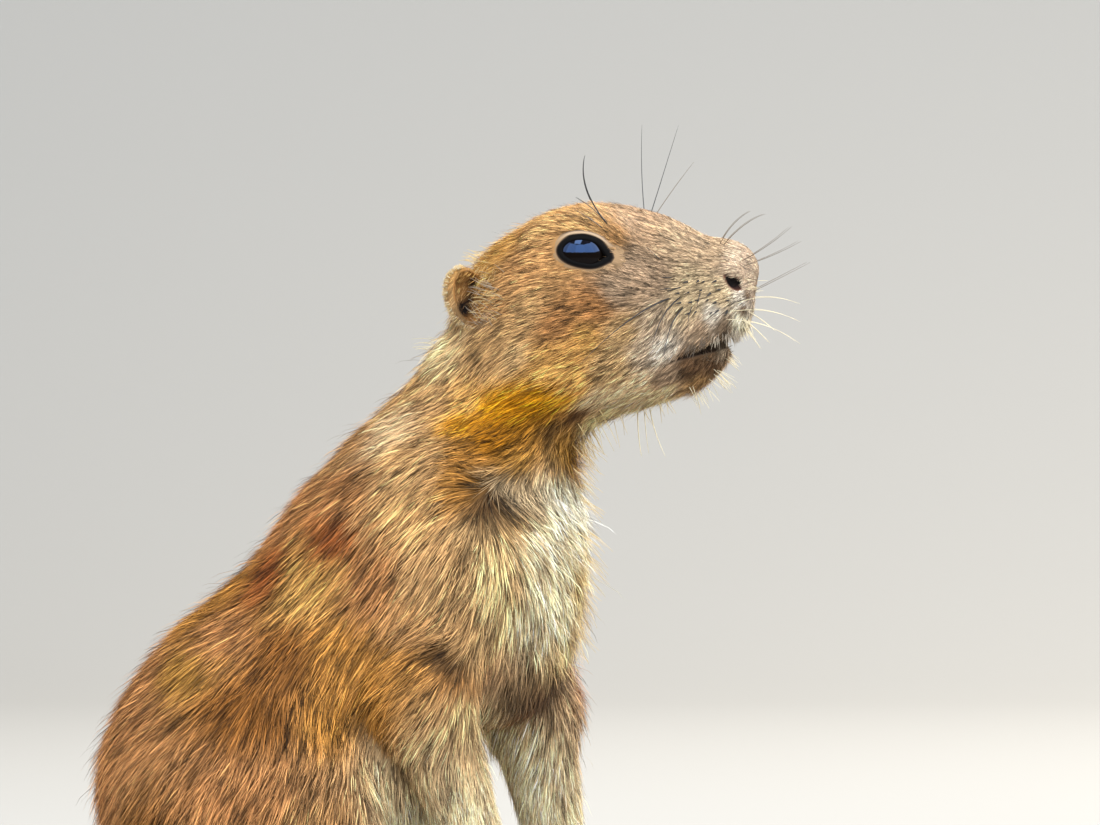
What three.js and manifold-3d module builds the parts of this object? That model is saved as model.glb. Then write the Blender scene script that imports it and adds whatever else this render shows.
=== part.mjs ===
// A life-size prairie dog sitting on its haunches, one forefoot ahead of the other and the head held high.
// Millimetres, +Z up, nose towards +X, the animal's right side towards -Y. It rests on the plane z = 0.
import * as THREE from "three";
import { mergeVertices } from "three/addons/utils/BufferGeometryUtils.js";
import Module from "manifold-3d";

const wasm = await Module();
wasm.setup();

// Driving dimensions
const FLOOR = 0;
const SINK = 0.8; // how far a sole, the rump or the tail is modelled into the floor before it is cut flat
const GAP = 0.3; // clearance between neighbouring pieces
const ORIGIN_X = 57.1; // the middle of the whole length, in the frame that the sizes below are given in

// Small vector helpers
const vec = (x, y, z) => new THREE.Vector3(x, y, z);
const degrees = THREE.MathUtils.degToRad;
const lerp = THREE.MathUtils.lerp;

// Body masses. A ball is an ellipsoid: its place, its half sizes along its own length, width and depth, and
// how far its length is tilted up from +X. A taper is a limb with round ends. A pair is on both sides.
function ball(at, half, tilt, options) {
  return { at: vec(...at), half: vec(...half), tilt: degrees(tilt), ...options };
}
function taper(from, to, r0, r1, options) {
  return { from: vec(...from), to: vec(...to), r0, r1, ...options };
}
const pair = true;

const HEAD = {
  cranium: ball([114.5, 0, 138.2], [18.8, 17, 16.6], 16, { blend: 6 }),
  forehead: ball([127.8, 0, 146.8], [17.6, 12.5, 12.2], -12, { blend: 7 }),
  muzzle: ball([141, 0, 142.2], [17, 10.2, 11.6], -20, { blend: 7 }),
  noseTip: ball([152.4, 0, 145.4], [6.2, 5.6, 5.5], -20, { blend: 4 }),
  lipPad: ball([146.8, 3.8, 135.8], [9.6, 6.2, 7.6], 8, { blend: 5, pair }),
  cheekbone: ball([123, 11.5, 138.5], [15, 8.2, 8.5], -6, { blend: 8, pair }),
  cheek: ball([115.5, 9.5, 126.5], [17, 12.5, 13.5], 16, { blend: 7, pair }),
  jowl: ball([132, 8, 127.5], [12, 6.5, 9.5], 0, { blend: 8, pair }),
  jaw: taper([118, 0, 122.5], [142.6, 0, 125], 12, 7.3, { blend: 6 }),
  lowerLip: ball([147.4, 0, 126], [5, 5.2, 3.6], 24, { blend: 3 }),
  brow: ball([121, 10.8, 152], [10, 4.5, 4.5], -4, { blend: 7, pair }),
};
const NECK = {
  nape: taper([92.5, 0, 102], [104.5, 0, 130], 18.6, 12, { blend: 9 }),
  throat: taper([102.5, 0, 97], [110, 0, 121], 15.5, 12, { blend: 9 }),
};
const TRUNK = {
  ribs: ball([85.5, 0, 82], [40, 27.5, 29], 48, { blend: 10 }),
  breast: ball([104, 0, 78], [18, 20, 29], 0, { blend: 9 }),
  belly: ball([56.5, 0, 48.5], [41, 33, 30], 46, { blend: 12 }),
  paunch: ball([68, 0, 34], [27, 28, 22], 14, { blend: 12 }),
  rump: ball([48.5, 0, 31], [25.5, 31, 28], 30, { blend: 11 }),
  blade: ball([79, 14, 90], [19, 9.5, 11], 52, { blend: 10, pair }),
};

// Limbs. Points are given for the right side with a positive distance from the midline.
const FORELEG = {
  right: { shoulder: [95, 15, 79], elbow: [88.5, 24, 56], wrist: [104, 20.5, 11], heading: 3 },
  left: { shoulder: [99, 15, 79], elbow: [110, 22, 52], wrist: [118, 20, 11], heading: 6 },
  midline: 5, // the upper arms reach in to this far from the midline
  shoulderRadius: 16.5,
  elbowRadius: 11,
  forearmRadius: 10, // at the elbow
  wristRadius: 5.4,
  palm: [9.5, 6.6, 4.6],
  palmHeight: 4.2,
  palmAhead: 6.5,
};
const HINDLEG = {
  thigh: { at: [50, 25, 33], half: [26, 14.5, 25], tilt: 22, sides: 18, bands: 12 },
  kneecap: { at: [66, 30, 32], half: [13, 9, 15], tilt: 28, sides: 12, bands: 8 },
  knee: [66, 30, 24],
  ankle: [34, 32.5, 10],
  kneeRadius: 9,
  ankleRadius: 6,
  heel: [29, 33.5, 5.6],
  instep: [55, 37.5, 5.2],
  heelRadius: 6,
  instepRadius: 5.8,
  sole: [9.5, 7.6, 4.4],
  heading: 7,
};
const FORE_DIGITS = {
  spread: [-30, -12, 4, 20, 52], // degrees from the paw's heading, positive away from the midline's side
  reach: [14, 18.5, 18.5, 15.5, 7.5],
  root: 5.5,
  rootRadius: 2.5,
  tipRadius: 1.75,
  claw: [4.2, 6.2, 6.2, 5.4, 2.4],
};
const HIND_DIGITS = {
  spread: [-34, -15, 0, 14, 32],
  reach: [12, 19.5, 21, 19.5, 12.5],
  root: 5,
  rootRadius: 2.9,
  tipRadius: 2,
  claw: [3.6, 4.8, 5, 4.8, 3.8],
};
const KNUCKLE = 1.6; // how much higher than its own radius a digit is rooted
const CLAW = { radius: 1.05, tipRadius: 0.32, rise: 1, clear: 0.1, fullness: 1.4, steps: 3, sides: 5 };
const TAIL = {
  line: [[36, 0, 16], [18, 0, 10.5], [-1, 2.5, 7.6], [-26, 9, 6.6], [-50, 18, 4.4]],
  radii: [14, 10.5, 8.4, 8.6, 4.6],
  blend: 2,
  tipStart: 3, // the dark tip begins at this point of the line
  reach: 12, // how far past its last point the line runs on, to close the wrap
  room: 0.5, // clearance at the rump
};

// Face. The eyes, ears and nostrils are given for one side and repeated on the other.
// How far each stands out is measured from the coat beside it.
const EYE = {
  at: [121.4, 148.3],
  proud: 0.9,
  radius: 5.4,
  width: 4.2, // half the opening between the lids
  height: 2.7,
  lid: 1.3,
  tilt: -8,
  outward: [0.16, 1, 0.2],
};
const EAR = {
  at: [97.2, 139],
  proud: 2.4,
  half: [4.7, 3.5, 6.7],
  wall: 1.1,
  hollow: [0.4, 0.8], // how far the hollow is moved forwards, and outwards from the bottom's wall
  tilt: 18,
  outward: [0.32, 1, 0.04],
};
const MOUTH = {
  line: [[139.6, 123.9], [142, 125.1], [146, 127.1], [150, 128.8], [154, 130.2], [160, 131.8]],
  gaps: [0.7, 0.8, 1.3, 2.1, 2.2, 2.2], // how far the lips part at each point of the line
  core: { at: [138.5, 0, 128], half: [11.5, 6.2, 9] }, // where the lips meet inside the mouth
  lip: 1.1,
  under: 90, // a level below the whole jaw
};
const NOSTRIL = { at: [153.3, 142], half: [2.3, 1.9, 0.95], tilt: -28 };

// The long whiskers. Each has its root, the point that it bends towards and its tip, as seen from the side,
// and how far its tip stands from the midline.
const WHISKERS = {
  both: [
    [[126.5, 154.4], [120.2, 162], [121.9, 168.8], 15],
    [[126.2, 154.8], [123.7, 157.9], [120, 160], 13],
    [[139.4, 138.8], [131, 136], [120.4, 124.8], 25],
    [[141.7, 139], [137.1, 135.7], [135.8, 128.5], 19],
    [[142.3, 136.9], [138.9, 133.5], [138.3, 126.5], 19],
    [[150.2, 150.2], [152.6, 155], [156.5, 157.1], 10],
    [[150.8, 149.8], [155, 155], [159.6, 156.5], 13],
    [[154.6, 146.6], [160, 149.3], [165, 153.8], 12],
    [[155, 145.6], [161, 147.4], [167, 150.8], 15],
    [[154.6, 139], [160.5, 142], [168.8, 146.3], 14],
    [[153, 137.6], [160, 140.5], [166.7, 137.7], 17],
    [[152, 136], [160, 137.5], [166.7, 134], 18],
    [[151, 134.4], [160, 134.5], [166.7, 129.4], 17],
    [[133, 115], [133, 110], [133.8, 105.6], 7],
    [[135.6, 115.4], [136.4, 110.5], [138.8, 105.6], 9],
  ],
  left: [
    [[134.6, 155.6], [133.6, 165], [134, 175.4], 12],
    [[135.4, 155.2], [138.2, 164], [141.7, 175.2], 13],
    [[136, 155], [140.2, 161.5], [145, 167.5], 14],
  ],
  radius: 0.3,
  lastRadius: 0.2, // at the last ring before the tip
  sunk: 1,
  spring: 0.8, // how much of its way outwards a whisker goes before its bend
  steps: 3,
  sides: 3,
};

// How finely each wrap is divided, and how far its rays look for the surface
const WRAPS = {
  trunk: { rings: 26, rays: 24, reach: 62 },
  head: { rings: 30, rays: 28, reach: 34 },
  tail: { rings: 16, rays: 10, reach: 20 },
};
const MARCH = 0.8; // the stride along a ray
const HALVINGS = 20; // how often a crossing is halved to find it
const CURVE_STRIDES = 200;
const WHOLE = 600; // larger than the animal in every direction

// Fields: a value below 0 is inside, and the value grows like a distance outside
function ballField(p, form) {
  const dx = p.x - form.at.x;
  const y = p.y - form.at.y;
  const dz = p.z - form.at.z;
  const c = Math.cos(form.tilt);
  const s = Math.sin(form.tilt);
  const x = dx * c + dz * s;
  const z = dz * c - dx * s;
  const { x: a, y: b, z: d } = form.half;
  const near = Math.hypot(x / a, y / b, z / d);
  const slope = Math.hypot(x / (a * a), y / (b * b), z / (d * d));
  return slope < 1e-9 ? -Math.min(a, b, d) : (near * (near - 1)) / slope;
}

function taperField(p, form) {
  const ax = form.to.x - form.from.x;
  const ay = form.to.y - form.from.y;
  const az = form.to.z - form.from.z;
  const px = p.x - form.from.x;
  const py = p.y - form.from.y;
  const pz = p.z - form.from.z;
  const along = (px * ax + py * ay + pz * az) / (ax * ax + ay * ay + az * az);
  const t = THREE.MathUtils.clamp(along, 0, 1);
  return Math.hypot(px - t * ax, py - t * ay, pz - t * az) - lerp(form.r0, form.r1, t);
}

function smoothUnion(a, b, blend) {
  const h = Math.max(blend - Math.abs(a - b), 0) / blend;
  return Math.min(a, b) - (h * h * blend) / 4;
}

function fieldOf(forms) {
  return (p) => {
    let value = Infinity;
    for (const form of forms) {
      const q = form.pair ? { x: p.x, y: Math.abs(p.y), z: p.z } : p;
      const d = form.half ? ballField(q, form) : taperField(q, form);
      value = value === Infinity ? d : smoothUnion(value, d, form.blend);
    }
    return value;
  };
}

const headForms = Object.values(HEAD);
const neckForms = Object.values(NECK);
const trunkField = fieldOf([...Object.values(TRUNK), ...neckForms, ...headForms]);
const headField = fieldOf([...headForms, ...neckForms, TRUNK.ribs, TRUNK.breast]);

// Solids
function solidOf(geometry) {
  const bare = new THREE.BufferGeometry();
  bare.setAttribute("position", geometry.attributes.position);
  bare.setIndex(geometry.index);
  const merged = mergeVertices(bare, 1e-4);
  const mesh = new wasm.Mesh({
    numProp: 3,
    vertProperties: new Float32Array(merged.attributes.position.array),
    triVerts: new Uint32Array(merged.index.array),
  });
  return new wasm.Manifold(mesh);
}

function closed(positions, faces) {
  const geometry = new THREE.BufferGeometry();
  geometry.setAttribute("position", new THREE.Float32BufferAttribute(positions, 3));
  let volume = 0;
  const corner = (i) => vec(...positions.slice(3 * i, 3 * i + 3));
  for (let f = 0; f < faces.length; f += 3) {
    const [a, b, c] = [corner(faces[f]), corner(faces[f + 1]), corner(faces[f + 2])];
    volume += a.dot(b.cross(c));
  }
  geometry.setIndex(volume < 0 ? faces.reverse() : faces);
  return geometry;
}

// How far from a point, in a direction, the surface of a field lies
function exitDistance(field, from, direction, reach) {
  const at = (r) => field(from.clone().addScaledVector(direction, r));
  let inside = 0;
  let outside = MARCH;
  while (outside < reach && at(outside) < 0) {
    inside = outside;
    outside += MARCH;
  }
  if (outside >= reach) return reach;
  for (let i = 0; i < HALVINGS; i++) {
    const middle = (inside + outside) / 2;
    if (at(middle) < 0) inside = middle;
    else outside = middle;
  }
  return (inside + outside) / 2;
}

// Rings of rays round a curve, each pushed out to the surface of the field. The curve's ends lie outside the
// surface where the wrap closes on a pole, and inside where a later cut ends the piece.
function wrap(field, curve, { rings, rays, reach, grow = 0 }) {
  const grown = grow ? (p) => field(p) - grow : field;
  const crossing = (from, to) => {
    if (grown(curve.getPoint(from)) < 0) return from;
    let [outside, inside] = [from, from];
    const step = (to - from) / CURVE_STRIDES;
    while (grown(curve.getPoint(inside)) >= 0) inside += step;
    for (let i = 0; i < HALVINGS; i++) {
      const middle = (outside + inside) / 2;
      if (grown(curve.getPoint(middle)) < 0) inside = middle;
      else outside = middle;
    }
    return (outside + inside) / 2;
  };
  const [start, end] = [crossing(0, 1), crossing(1, 0)];
  const roundStart = start > 0;
  const roundEnd = end < 1;
  const spread = (u) => {
    if (roundStart && roundEnd) return (1 - Math.cos(Math.PI * u)) / 2;
    if (roundStart) return 1 - Math.cos((Math.PI / 2) * u);
    if (roundEnd) return Math.sin((Math.PI / 2) * u);
    return u;
  };
  const positions = [];
  const faces = [];
  for (let i = 0; i <= rings; i++) {
    const u = i / rings;
    const t = lerp(start, end, spread(u));
    const centre = curve.getPoint(t);
    const pole = (i === 0 && roundStart) || (i === rings && roundEnd);
    const along = curve.getTangent(t);
    const reference = Math.abs(along.y) > 0.9 ? vec(0, 0, 1) : vec(0, 1, 0);
    const side = reference.sub(along.clone().multiplyScalar(reference.dot(along))).normalize();
    const up = along.clone().cross(side);
    for (let j = 0; j < rays; j++) {
      const angle = (2 * Math.PI * j) / rays;
      const direction = side.clone().multiplyScalar(Math.cos(angle)).addScaledVector(up, Math.sin(angle));
      const r = pole ? 0 : exitDistance(grown, centre, direction, reach);
      positions.push(...centre.clone().addScaledVector(direction, r).toArray());
    }
  }
  const last = rings * rays;
  for (let i = 0; i < rings; i++) {
    for (let j = 0; j < rays; j++) {
      const a = i * rays + j;
      const b = i * rays + ((j + 1) % rays);
      faces.push(a, b, b + rays, a, b + rays, a + rays);
    }
  }
  for (let j = 1; j < rays - 1; j++) {
    if (!roundStart) faces.push(0, j + 1, j);
    if (!roundEnd) faces.push(last, last + j, last + j + 1);
  }
  return solidOf(closed(positions, faces));
}

const line = (...points) => new THREE.CatmullRomCurve3(points.map((p) => vec(...p)));

// A tapering limb with round ends, as a lathe turned onto the line between two points
function limb(from, to, r0, r1, sides, arcs) {
  const axis = to.clone().sub(from);
  const length = axis.length();
  const profile = [];
  for (let i = 0; i <= arcs; i++) {
    const angle = (Math.PI / 2) * (1 - i / arcs);
    profile.push(new THREE.Vector2(r0 * Math.cos(angle), -r0 * Math.sin(angle)));
  }
  for (let i = 0; i <= arcs; i++) {
    const angle = (Math.PI / 2) * (i / arcs);
    profile.push(new THREE.Vector2(r1 * Math.cos(angle), length + r1 * Math.sin(angle)));
  }
  profile[0].x = 0;
  profile[profile.length - 1].x = 0;
  const turn = new THREE.Quaternion().setFromUnitVectors(vec(0, 1, 0), axis.normalize());
  const geometry = new THREE.LatheGeometry(profile, sides).applyQuaternion(turn);
  return solidOf(geometry.translate(from.x, from.y, from.z));
}

function egg({ at, half, tilt }, grow, sides, bands) {
  const geometry = new THREE.SphereGeometry(1, sides, bands);
  geometry.rotateX(Math.PI / 2);
  geometry.scale(half.x + grow, half.y + grow, half.z + grow);
  geometry.rotateY(-degrees(tilt));
  return solidOf(geometry.translate(at.x, at.y, at.z));
}

// A bent spike that tapers to a point at the end of its curve
function spike(curve, { radius, lastRadius, steps, sides }) {
  const positions = [];
  const faces = [];
  for (let i = 0; i < steps; i++) {
    const t = i / steps;
    const centre = curve.getPoint(t);
    const way = curve.getTangent(t);
    const across = vec(0, 1, 0).cross(way).normalize();
    const up = way.clone().cross(across);
    const r = lerp(radius, lastRadius, i / (steps - 1));
    for (let j = 0; j < sides; j++) {
      const angle = (2 * Math.PI * j) / sides;
      const point = centre.clone().addScaledVector(across, r * Math.cos(angle));
      positions.push(...point.addScaledVector(up, r * Math.sin(angle)).toArray());
    }
  }
  positions.push(...curve.getPoint(1).toArray());
  const tip = steps * sides;
  for (let j = 0; j < sides; j++) {
    const next = (j + 1) % sides;
    for (let ring = 0; ring < tip - sides; ring += sides) {
      faces.push(ring + j, ring + next, ring + next + sides);
      faces.push(ring + j, ring + next + sides, ring + j + sides);
    }
    faces.push(tip - sides + j, tip - sides + next, tip);
  }
  for (let j = 1; j < sides - 1; j++) faces.push(0, j + 1, j);
  return solidOf(closed(positions, faces));
}

// Everything on the side of a plane that its normal points to
function halfSpace(point, normal) {
  const geometry = new THREE.BoxGeometry(WHOLE, WHOLE, WHOLE).translate(0, 0, WHOLE / 2);
  const turn = new THREE.Quaternion().setFromUnitVectors(vec(0, 0, 1), normal.clone().normalize());
  return solidOf(geometry.applyQuaternion(turn).translate(point.x, point.y, point.z));
}

const aboveFloor = halfSpace(vec(0, 0, FLOOR), vec(0, 0, 1));

function largest(solid) {
  const pieces = solid.decompose();
  return pieces.reduce((best, piece) => (piece.volume() > best.volume() ? piece : best));
}

// Cuts a solid at planes across it, in order from its first end, and leaves the gap at each
function sliced(solid, planes) {
  const past = ({ at, along }, way) => {
    const normal = vec(...along).normalize().multiplyScalar(way);
    return halfSpace(vec(...at).addScaledVector(normal, GAP / 2), normal);
  };
  const pieces = [];
  let rest = solid;
  for (const plane of planes) {
    pieces.push(rest.intersect(past(plane, -1)));
    rest = rest.intersect(past(plane, 1));
  }
  return [...pieces, rest];
}

const mirrored = ([x, y, z], side) => vec(x, side === "right" ? -Math.abs(y) : Math.abs(y), z);

// Looks
const coatMaterial = (color) => new THREE.MeshStandardMaterial({ color, roughness: 0.9, metalness: 0 });
const MATERIALS = {
  coat: coatMaterial("#b98a55"),
  backCoat: coatMaterial("#a8703f"),
  bellyCoat: coatMaterial("#dcc59a"),
  tailTip: coatMaterial("#2a211b"),
  eye: new THREE.MeshStandardMaterial({ color: "#0a0808", roughness: 0.08, metalness: 0 }),
  claw: new THREE.MeshStandardMaterial({ color: "#2b211b", roughness: 0.45, metalness: 0 }),
};

const animal = new THREE.Group();

function add(name, solid, material) {
  const { vertProperties, triVerts } = largest(solid).getMesh();
  const geometry = new THREE.BufferGeometry();
  geometry.setAttribute("position", new THREE.BufferAttribute(new Float32Array(vertProperties), 3));
  geometry.setIndex(new THREE.BufferAttribute(new Uint32Array(triVerts), 1));
  const mesh = new THREE.Mesh(geometry, material);
  mesh.name = name;
  animal.add(mesh);
}

// Limbs and feet, each as a function of how far it is grown, so that a neighbour can be cut clear of it
const SIDES = ["right", "left"];
const turnOf = (heading, side) => degrees(side === "right" ? -heading : heading);
const along = (from, heading, distance, side) => {
  const angle = turnOf(heading, side);
  return vec(from.x + distance * Math.cos(angle), from.y + distance * Math.sin(angle), from.z);
};

function upperArm(side, grow) {
  const leg = FORELEG[side];
  const [shoulder, elbow] = [mirrored(leg.shoulder, side), mirrored(leg.elbow, side)];
  const outward = vec(0, Math.sign(shoulder.y), 0);
  const arm = limb(shoulder, elbow, FORELEG.shoulderRadius + grow, FORELEG.elbowRadius + grow, 12, 4);
  return arm.intersect(halfSpace(outward.clone().multiplyScalar(FORELEG.midline - grow), outward));
}

function forearm(side, grow) {
  const leg = FORELEG[side];
  const [elbow, wrist] = [mirrored(leg.elbow, side), mirrored(leg.wrist, side)];
  return limb(elbow, wrist, FORELEG.forearmRadius + grow, FORELEG.wristRadius + grow, 10, 3);
}

// A digit runs from its root on the paw down to its tip on the floor, and its claw goes on from there
function digitLines(centre, heading, digits, side) {
  return digits.reach.map((reach, i) => {
    const turned = heading + digits.spread[i];
    const root = along(centre, turned, digits.root, side).setZ(digits.rootRadius + KNUCKLE);
    const tip = along(centre, turned, reach, side).setZ(digits.tipRadius - SINK / 2);
    const clawRoot = along(centre, turned, reach + digits.tipRadius + GAP, side);
    clawRoot.setZ(CLAW.radius + CLAW.rise);
    return { root, tip, clawRoot, turned, length: digits.claw[i] };
  });
}

function withDigits(palm, lines, digits, grow) {
  const [r0, r1] = [digits.rootRadius + grow, digits.tipRadius + grow];
  return wasm.Manifold.union([palm, ...lines.map(({ root, tip }) => limb(root, tip, r0, r1, 6, 2))]);
}

// A claw is a round spike with a flat root, bent down to the floor along its length
function claw({ clawRoot, turned, length }, side) {
  const profile = [new THREE.Vector2(0, 0)];
  for (let i = 0; i <= CLAW.steps; i++) {
    const t = i / CLAW.steps;
    profile.push(new THREE.Vector2(lerp(CLAW.radius, CLAW.tipRadius, t ** CLAW.fullness), length * t));
  }
  profile.push(new THREE.Vector2(0, length));
  const geometry = new THREE.LatheGeometry(profile, CLAW.sides).rotateZ(-Math.PI / 2);
  const drop = clawRoot.z - CLAW.tipRadius - CLAW.clear;
  const { position } = geometry.attributes;
  for (let i = 0; i < position.count; i++) {
    position.setZ(i, position.getZ(i) - drop * (position.getX(i) / length) ** 2);
  }
  geometry.rotateZ(turnOf(turned, side));
  return solidOf(geometry.translate(clawRoot.x, clawRoot.y, clawRoot.z));
}

function forefoot(side, grow) {
  const { wrist, heading } = FORELEG[side];
  const centre = along(mirrored(wrist, side), heading, FORELEG.palmAhead, side);
  centre.setZ(FORELEG.palmHeight - SINK / 2);
  const lines = digitLines(centre, heading, FORE_DIGITS, side);
  const palm = egg({ at: centre, half: vec(...FORELEG.palm), tilt: 0 }, grow, 12, 6);
  return { solid: withDigits(palm, lines, FORE_DIGITS, grow), lines };
}

function haunch(side, grow) {
  const eggs = [HINDLEG.thigh, HINDLEG.kneecap].map(({ at, half, tilt, sides, bands }) => {
    return egg({ at: mirrored(at, side), half: vec(...half), tilt }, grow, sides, bands);
  });
  return eggs[0].add(eggs[1]);
}

function shank(side, grow) {
  const [knee, ankle] = [mirrored(HINDLEG.knee, side), mirrored(HINDLEG.ankle, side)];
  return limb(knee, ankle, HINDLEG.kneeRadius + grow, HINDLEG.ankleRadius + grow, 10, 3);
}

function hindfoot(side, grow) {
  const [heel, instep] = [mirrored(HINDLEG.heel, side), mirrored(HINDLEG.instep, side)];
  const lines = digitLines(instep, HINDLEG.heading, HIND_DIGITS, side);
  const flat = instep.clone().setZ(HINDLEG.sole[2] - SINK / 2);
  const sole = egg({ at: flat, half: vec(...HINDLEG.sole), tilt: 0 }, grow, 12, 6);
  const metatarsus = limb(heel, instep, HINDLEG.heelRadius + grow, HINDLEG.instepRadius + grow, 8, 2);
  return { solid: withDigits(sole.add(metatarsus), lines, HIND_DIGITS, grow), lines };
}

// Cuts a solid to the floor and clear of the pieces before it, each grown by the gap
function fitted(solid, ...before) {
  return before.reduce((rest, other) => rest.subtract(other), solid).intersect(aboveFloor);
}

function addClaws(prefix, lines, side) {
  lines.forEach((digit, i) => add(prefix + side + "_" + (i + 1), claw(digit, side), MATERIALS.claw));
}

// Trunk and neck, in one wrap, then cut into the parts that a person names
const spine = line([8, 0, 22], [40, 0, 36], [62, 0, 55], [87, 0, 79], [101, 0, 104], [108, 0, 130]);
const NECK_END = { at: [104, 0, 121], along: [0.55, 0, 0.83] };
const TRUNK_CUTS = [
  { at: [47, 0, 38], along: [0.82, 0, 0.57] },
  { at: [72, 0, 64], along: [0.74, 0, 0.67] },
  { at: [93, 0, 97], along: [0.45, 0, 0.9] },
  NECK_END,
];

const tailCurve = line(...TAIL.line);
const tailForms = TAIL.line.slice(1).map((to, i) => {
  return taper(TAIL.line[i], to, TAIL.radii[i], TAIL.radii[i + 1], { blend: TAIL.blend });
});
const tailEnd = vec(...TAIL.line.at(-1)).addScaledVector(tailCurve.getTangent(1), TAIL.reach);
const tailSolid = wrap(fieldOf(tailForms), line(...TAIL.line, tailEnd.toArray()), WRAPS.tail);

let core = wrap(trunkField, spine, WRAPS.trunk);
for (const side of SIDES) {
  const thigh = haunch(side, 0);
  core = core.subtract(haunch(side, GAP)).subtract(upperArm(side, GAP)).subtract(forearm(side, GAP));
  core = core.subtract(shank(side, GAP)).subtract(hindfoot(side, GAP).solid);
  add("thigh_" + side, fitted(thigh), MATERIALS.backCoat);
  add("shank_" + side, fitted(shank(side, 0), haunch(side, GAP)), MATERIALS.coat);
  const hind = hindfoot(side, 0);
  add("hindfoot_" + side, fitted(hind.solid, haunch(side, GAP), shank(side, GAP)), MATERIALS.coat);
  addClaws("hind_claw_", hind.lines, side);
  add("upper_arm_" + side, fitted(upperArm(side, 0), haunch(side, GAP)), MATERIALS.coat);
  add("forearm_" + side, fitted(forearm(side, 0), upperArm(side, GAP), haunch(side, GAP)), MATERIALS.coat);
  const fore = forefoot(side, 0);
  add("forefoot_" + side, fitted(fore.solid, forearm(side, GAP)), MATERIALS.coat);
  addClaws("fore_claw_", fore.lines, side);
}
const [rump, belly, chest, neck] = sliced(core.intersect(aboveFloor), TRUNK_CUTS);
add("rump", rump, MATERIALS.backCoat);
add("belly", belly, MATERIALS.bellyCoat);
add("chest", chest, MATERIALS.coat);
add("neck", neck, MATERIALS.coat);

// The tail, cut clear of the rump, and its dark tip
const tipStart = tailCurve.getTangent(TAIL.tipStart / (TAIL.line.length - 1));
const tipPlane = { at: TAIL.line[TAIL.tipStart], along: tipStart.toArray() };
const rumpGrown = wrap(trunkField, spine, { ...WRAPS.trunk, grow: TAIL.room });
const [tailBase, tailTip] = sliced(tailSolid.subtract(rumpGrown).intersect(aboveFloor), [tipPlane]);
add("tail", tailBase, MATERIALS.backCoat);
add("tail_tip", tailTip, MATERIALS.tailTip);

// Head
const headLine = line([93, 0, 104], [105, 0, 128], [128, 0, 138], [170, 0, 138.5]);
let head = wrap(headField, headLine, WRAPS.head);

// The coat's distance from the midline at a place seen from the side
const halfWidth = (x, z) => exitDistance(headField, vec(x, 0, z), vec(0, 1, 0), WRAPS.head.reach);

// A frame that looks out of one side of the head along a direction, its origin sunk under the coat
function sideways({ at: [x, z], outward, tilt }, sunk, side) {
  const centre = mirrored([x, halfWidth(x, z) - sunk, z], side);
  const out = mirrored(outward, side).normalize();
  const forward = vec(Math.cos(degrees(tilt)), 0, Math.sin(degrees(tilt)));
  forward.addScaledVector(out, -forward.dot(out)).normalize();
  const up = side === "right" ? forward.clone().cross(out.clone().negate()) : forward.clone().cross(out);
  return new THREE.Matrix4().makeBasis(forward, out, up.multiplyScalar(Math.sign(up.z))).setPosition(centre);
}

function placed(geometry, frame) {
  const { position } = geometry.applyMatrix4(frame).attributes;
  return solidOf(closed([...position.array], [...geometry.index.array]));
}

// Shapes for a frame that looks out of the head: a ball of three half sizes, and an oval rod along Y
const shellBall = (x, y, z, sides, bands) => new THREE.SphereGeometry(1, sides, bands).scale(x, y, z);
const roundBall = (radius) => shellBall(radius, radius, radius, 16, 10);
function ovalRod(width, height) {
  const rod = new THREE.CylinderGeometry(1, 1, WRAPS.head.reach, 20);
  return rod.translate(0, WRAPS.head.reach / 2, 0).scale(width, 1, height);
}

for (const side of SIDES) {
  // Lids: a shell round the ball, open in an oval, standing a little proud of the coat
  const eyeFrame = sideways(EYE, EYE.radius - EYE.proud, side);
  const lids = placed(roundBall(EYE.radius + EYE.lid), eyeFrame);
  const opening = placed(ovalRod(EYE.width, EYE.height), eyeFrame);
  head = head.add(lids).subtract(placed(roundBall(EYE.radius + GAP), eyeFrame)).subtract(opening);
  add("eye_" + side, placed(roundBall(EYE.radius), eyeFrame), MATERIALS.eye);

  // Ear: a low round cup, its hollow opening outwards and a little forwards
  const [x, y, z] = EAR.half;
  const earFrame = sideways(EAR, y - EAR.proud, side);
  const cup = (grow) => placed(shellBall(x + grow, y + grow, z + grow, 14, 8), earFrame);
  const hollow = shellBall(x - EAR.wall, y, z - EAR.wall, 14, 8);
  hollow.translate(EAR.hollow[0], EAR.wall + EAR.hollow[1], 0);
  head = head.subtract(cup(GAP));
  add("ear_" + side, cup(0).subtract(placed(hollow, earFrame)), MATERIALS.coat);

  // Nostril: a slanted pit beside the nose tip
  const [nostrilX, nostrilZ] = NOSTRIL.at;
  const at = mirrored([nostrilX, halfWidth(nostrilX, nostrilZ), nostrilZ], side);
  head = head.subtract(egg({ at, half: vec(...NOSTRIL.half), tilt: NOSTRIL.tilt }, 0, 14, 10));
}

head = sliced(head, [NECK_END])[1];

// A slab right across the head, from an outline seen from the side
function slab(outline) {
  const shape = new THREE.Shape(outline.map(([x, z]) => new THREE.Vector2(x, z)));
  const geometry = new THREE.ExtrudeGeometry(shape, { depth: WHOLE, bevelEnabled: false });
  return solidOf(geometry.rotateX(Math.PI / 2).translate(0, WHOLE / 2, 0));
}

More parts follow.
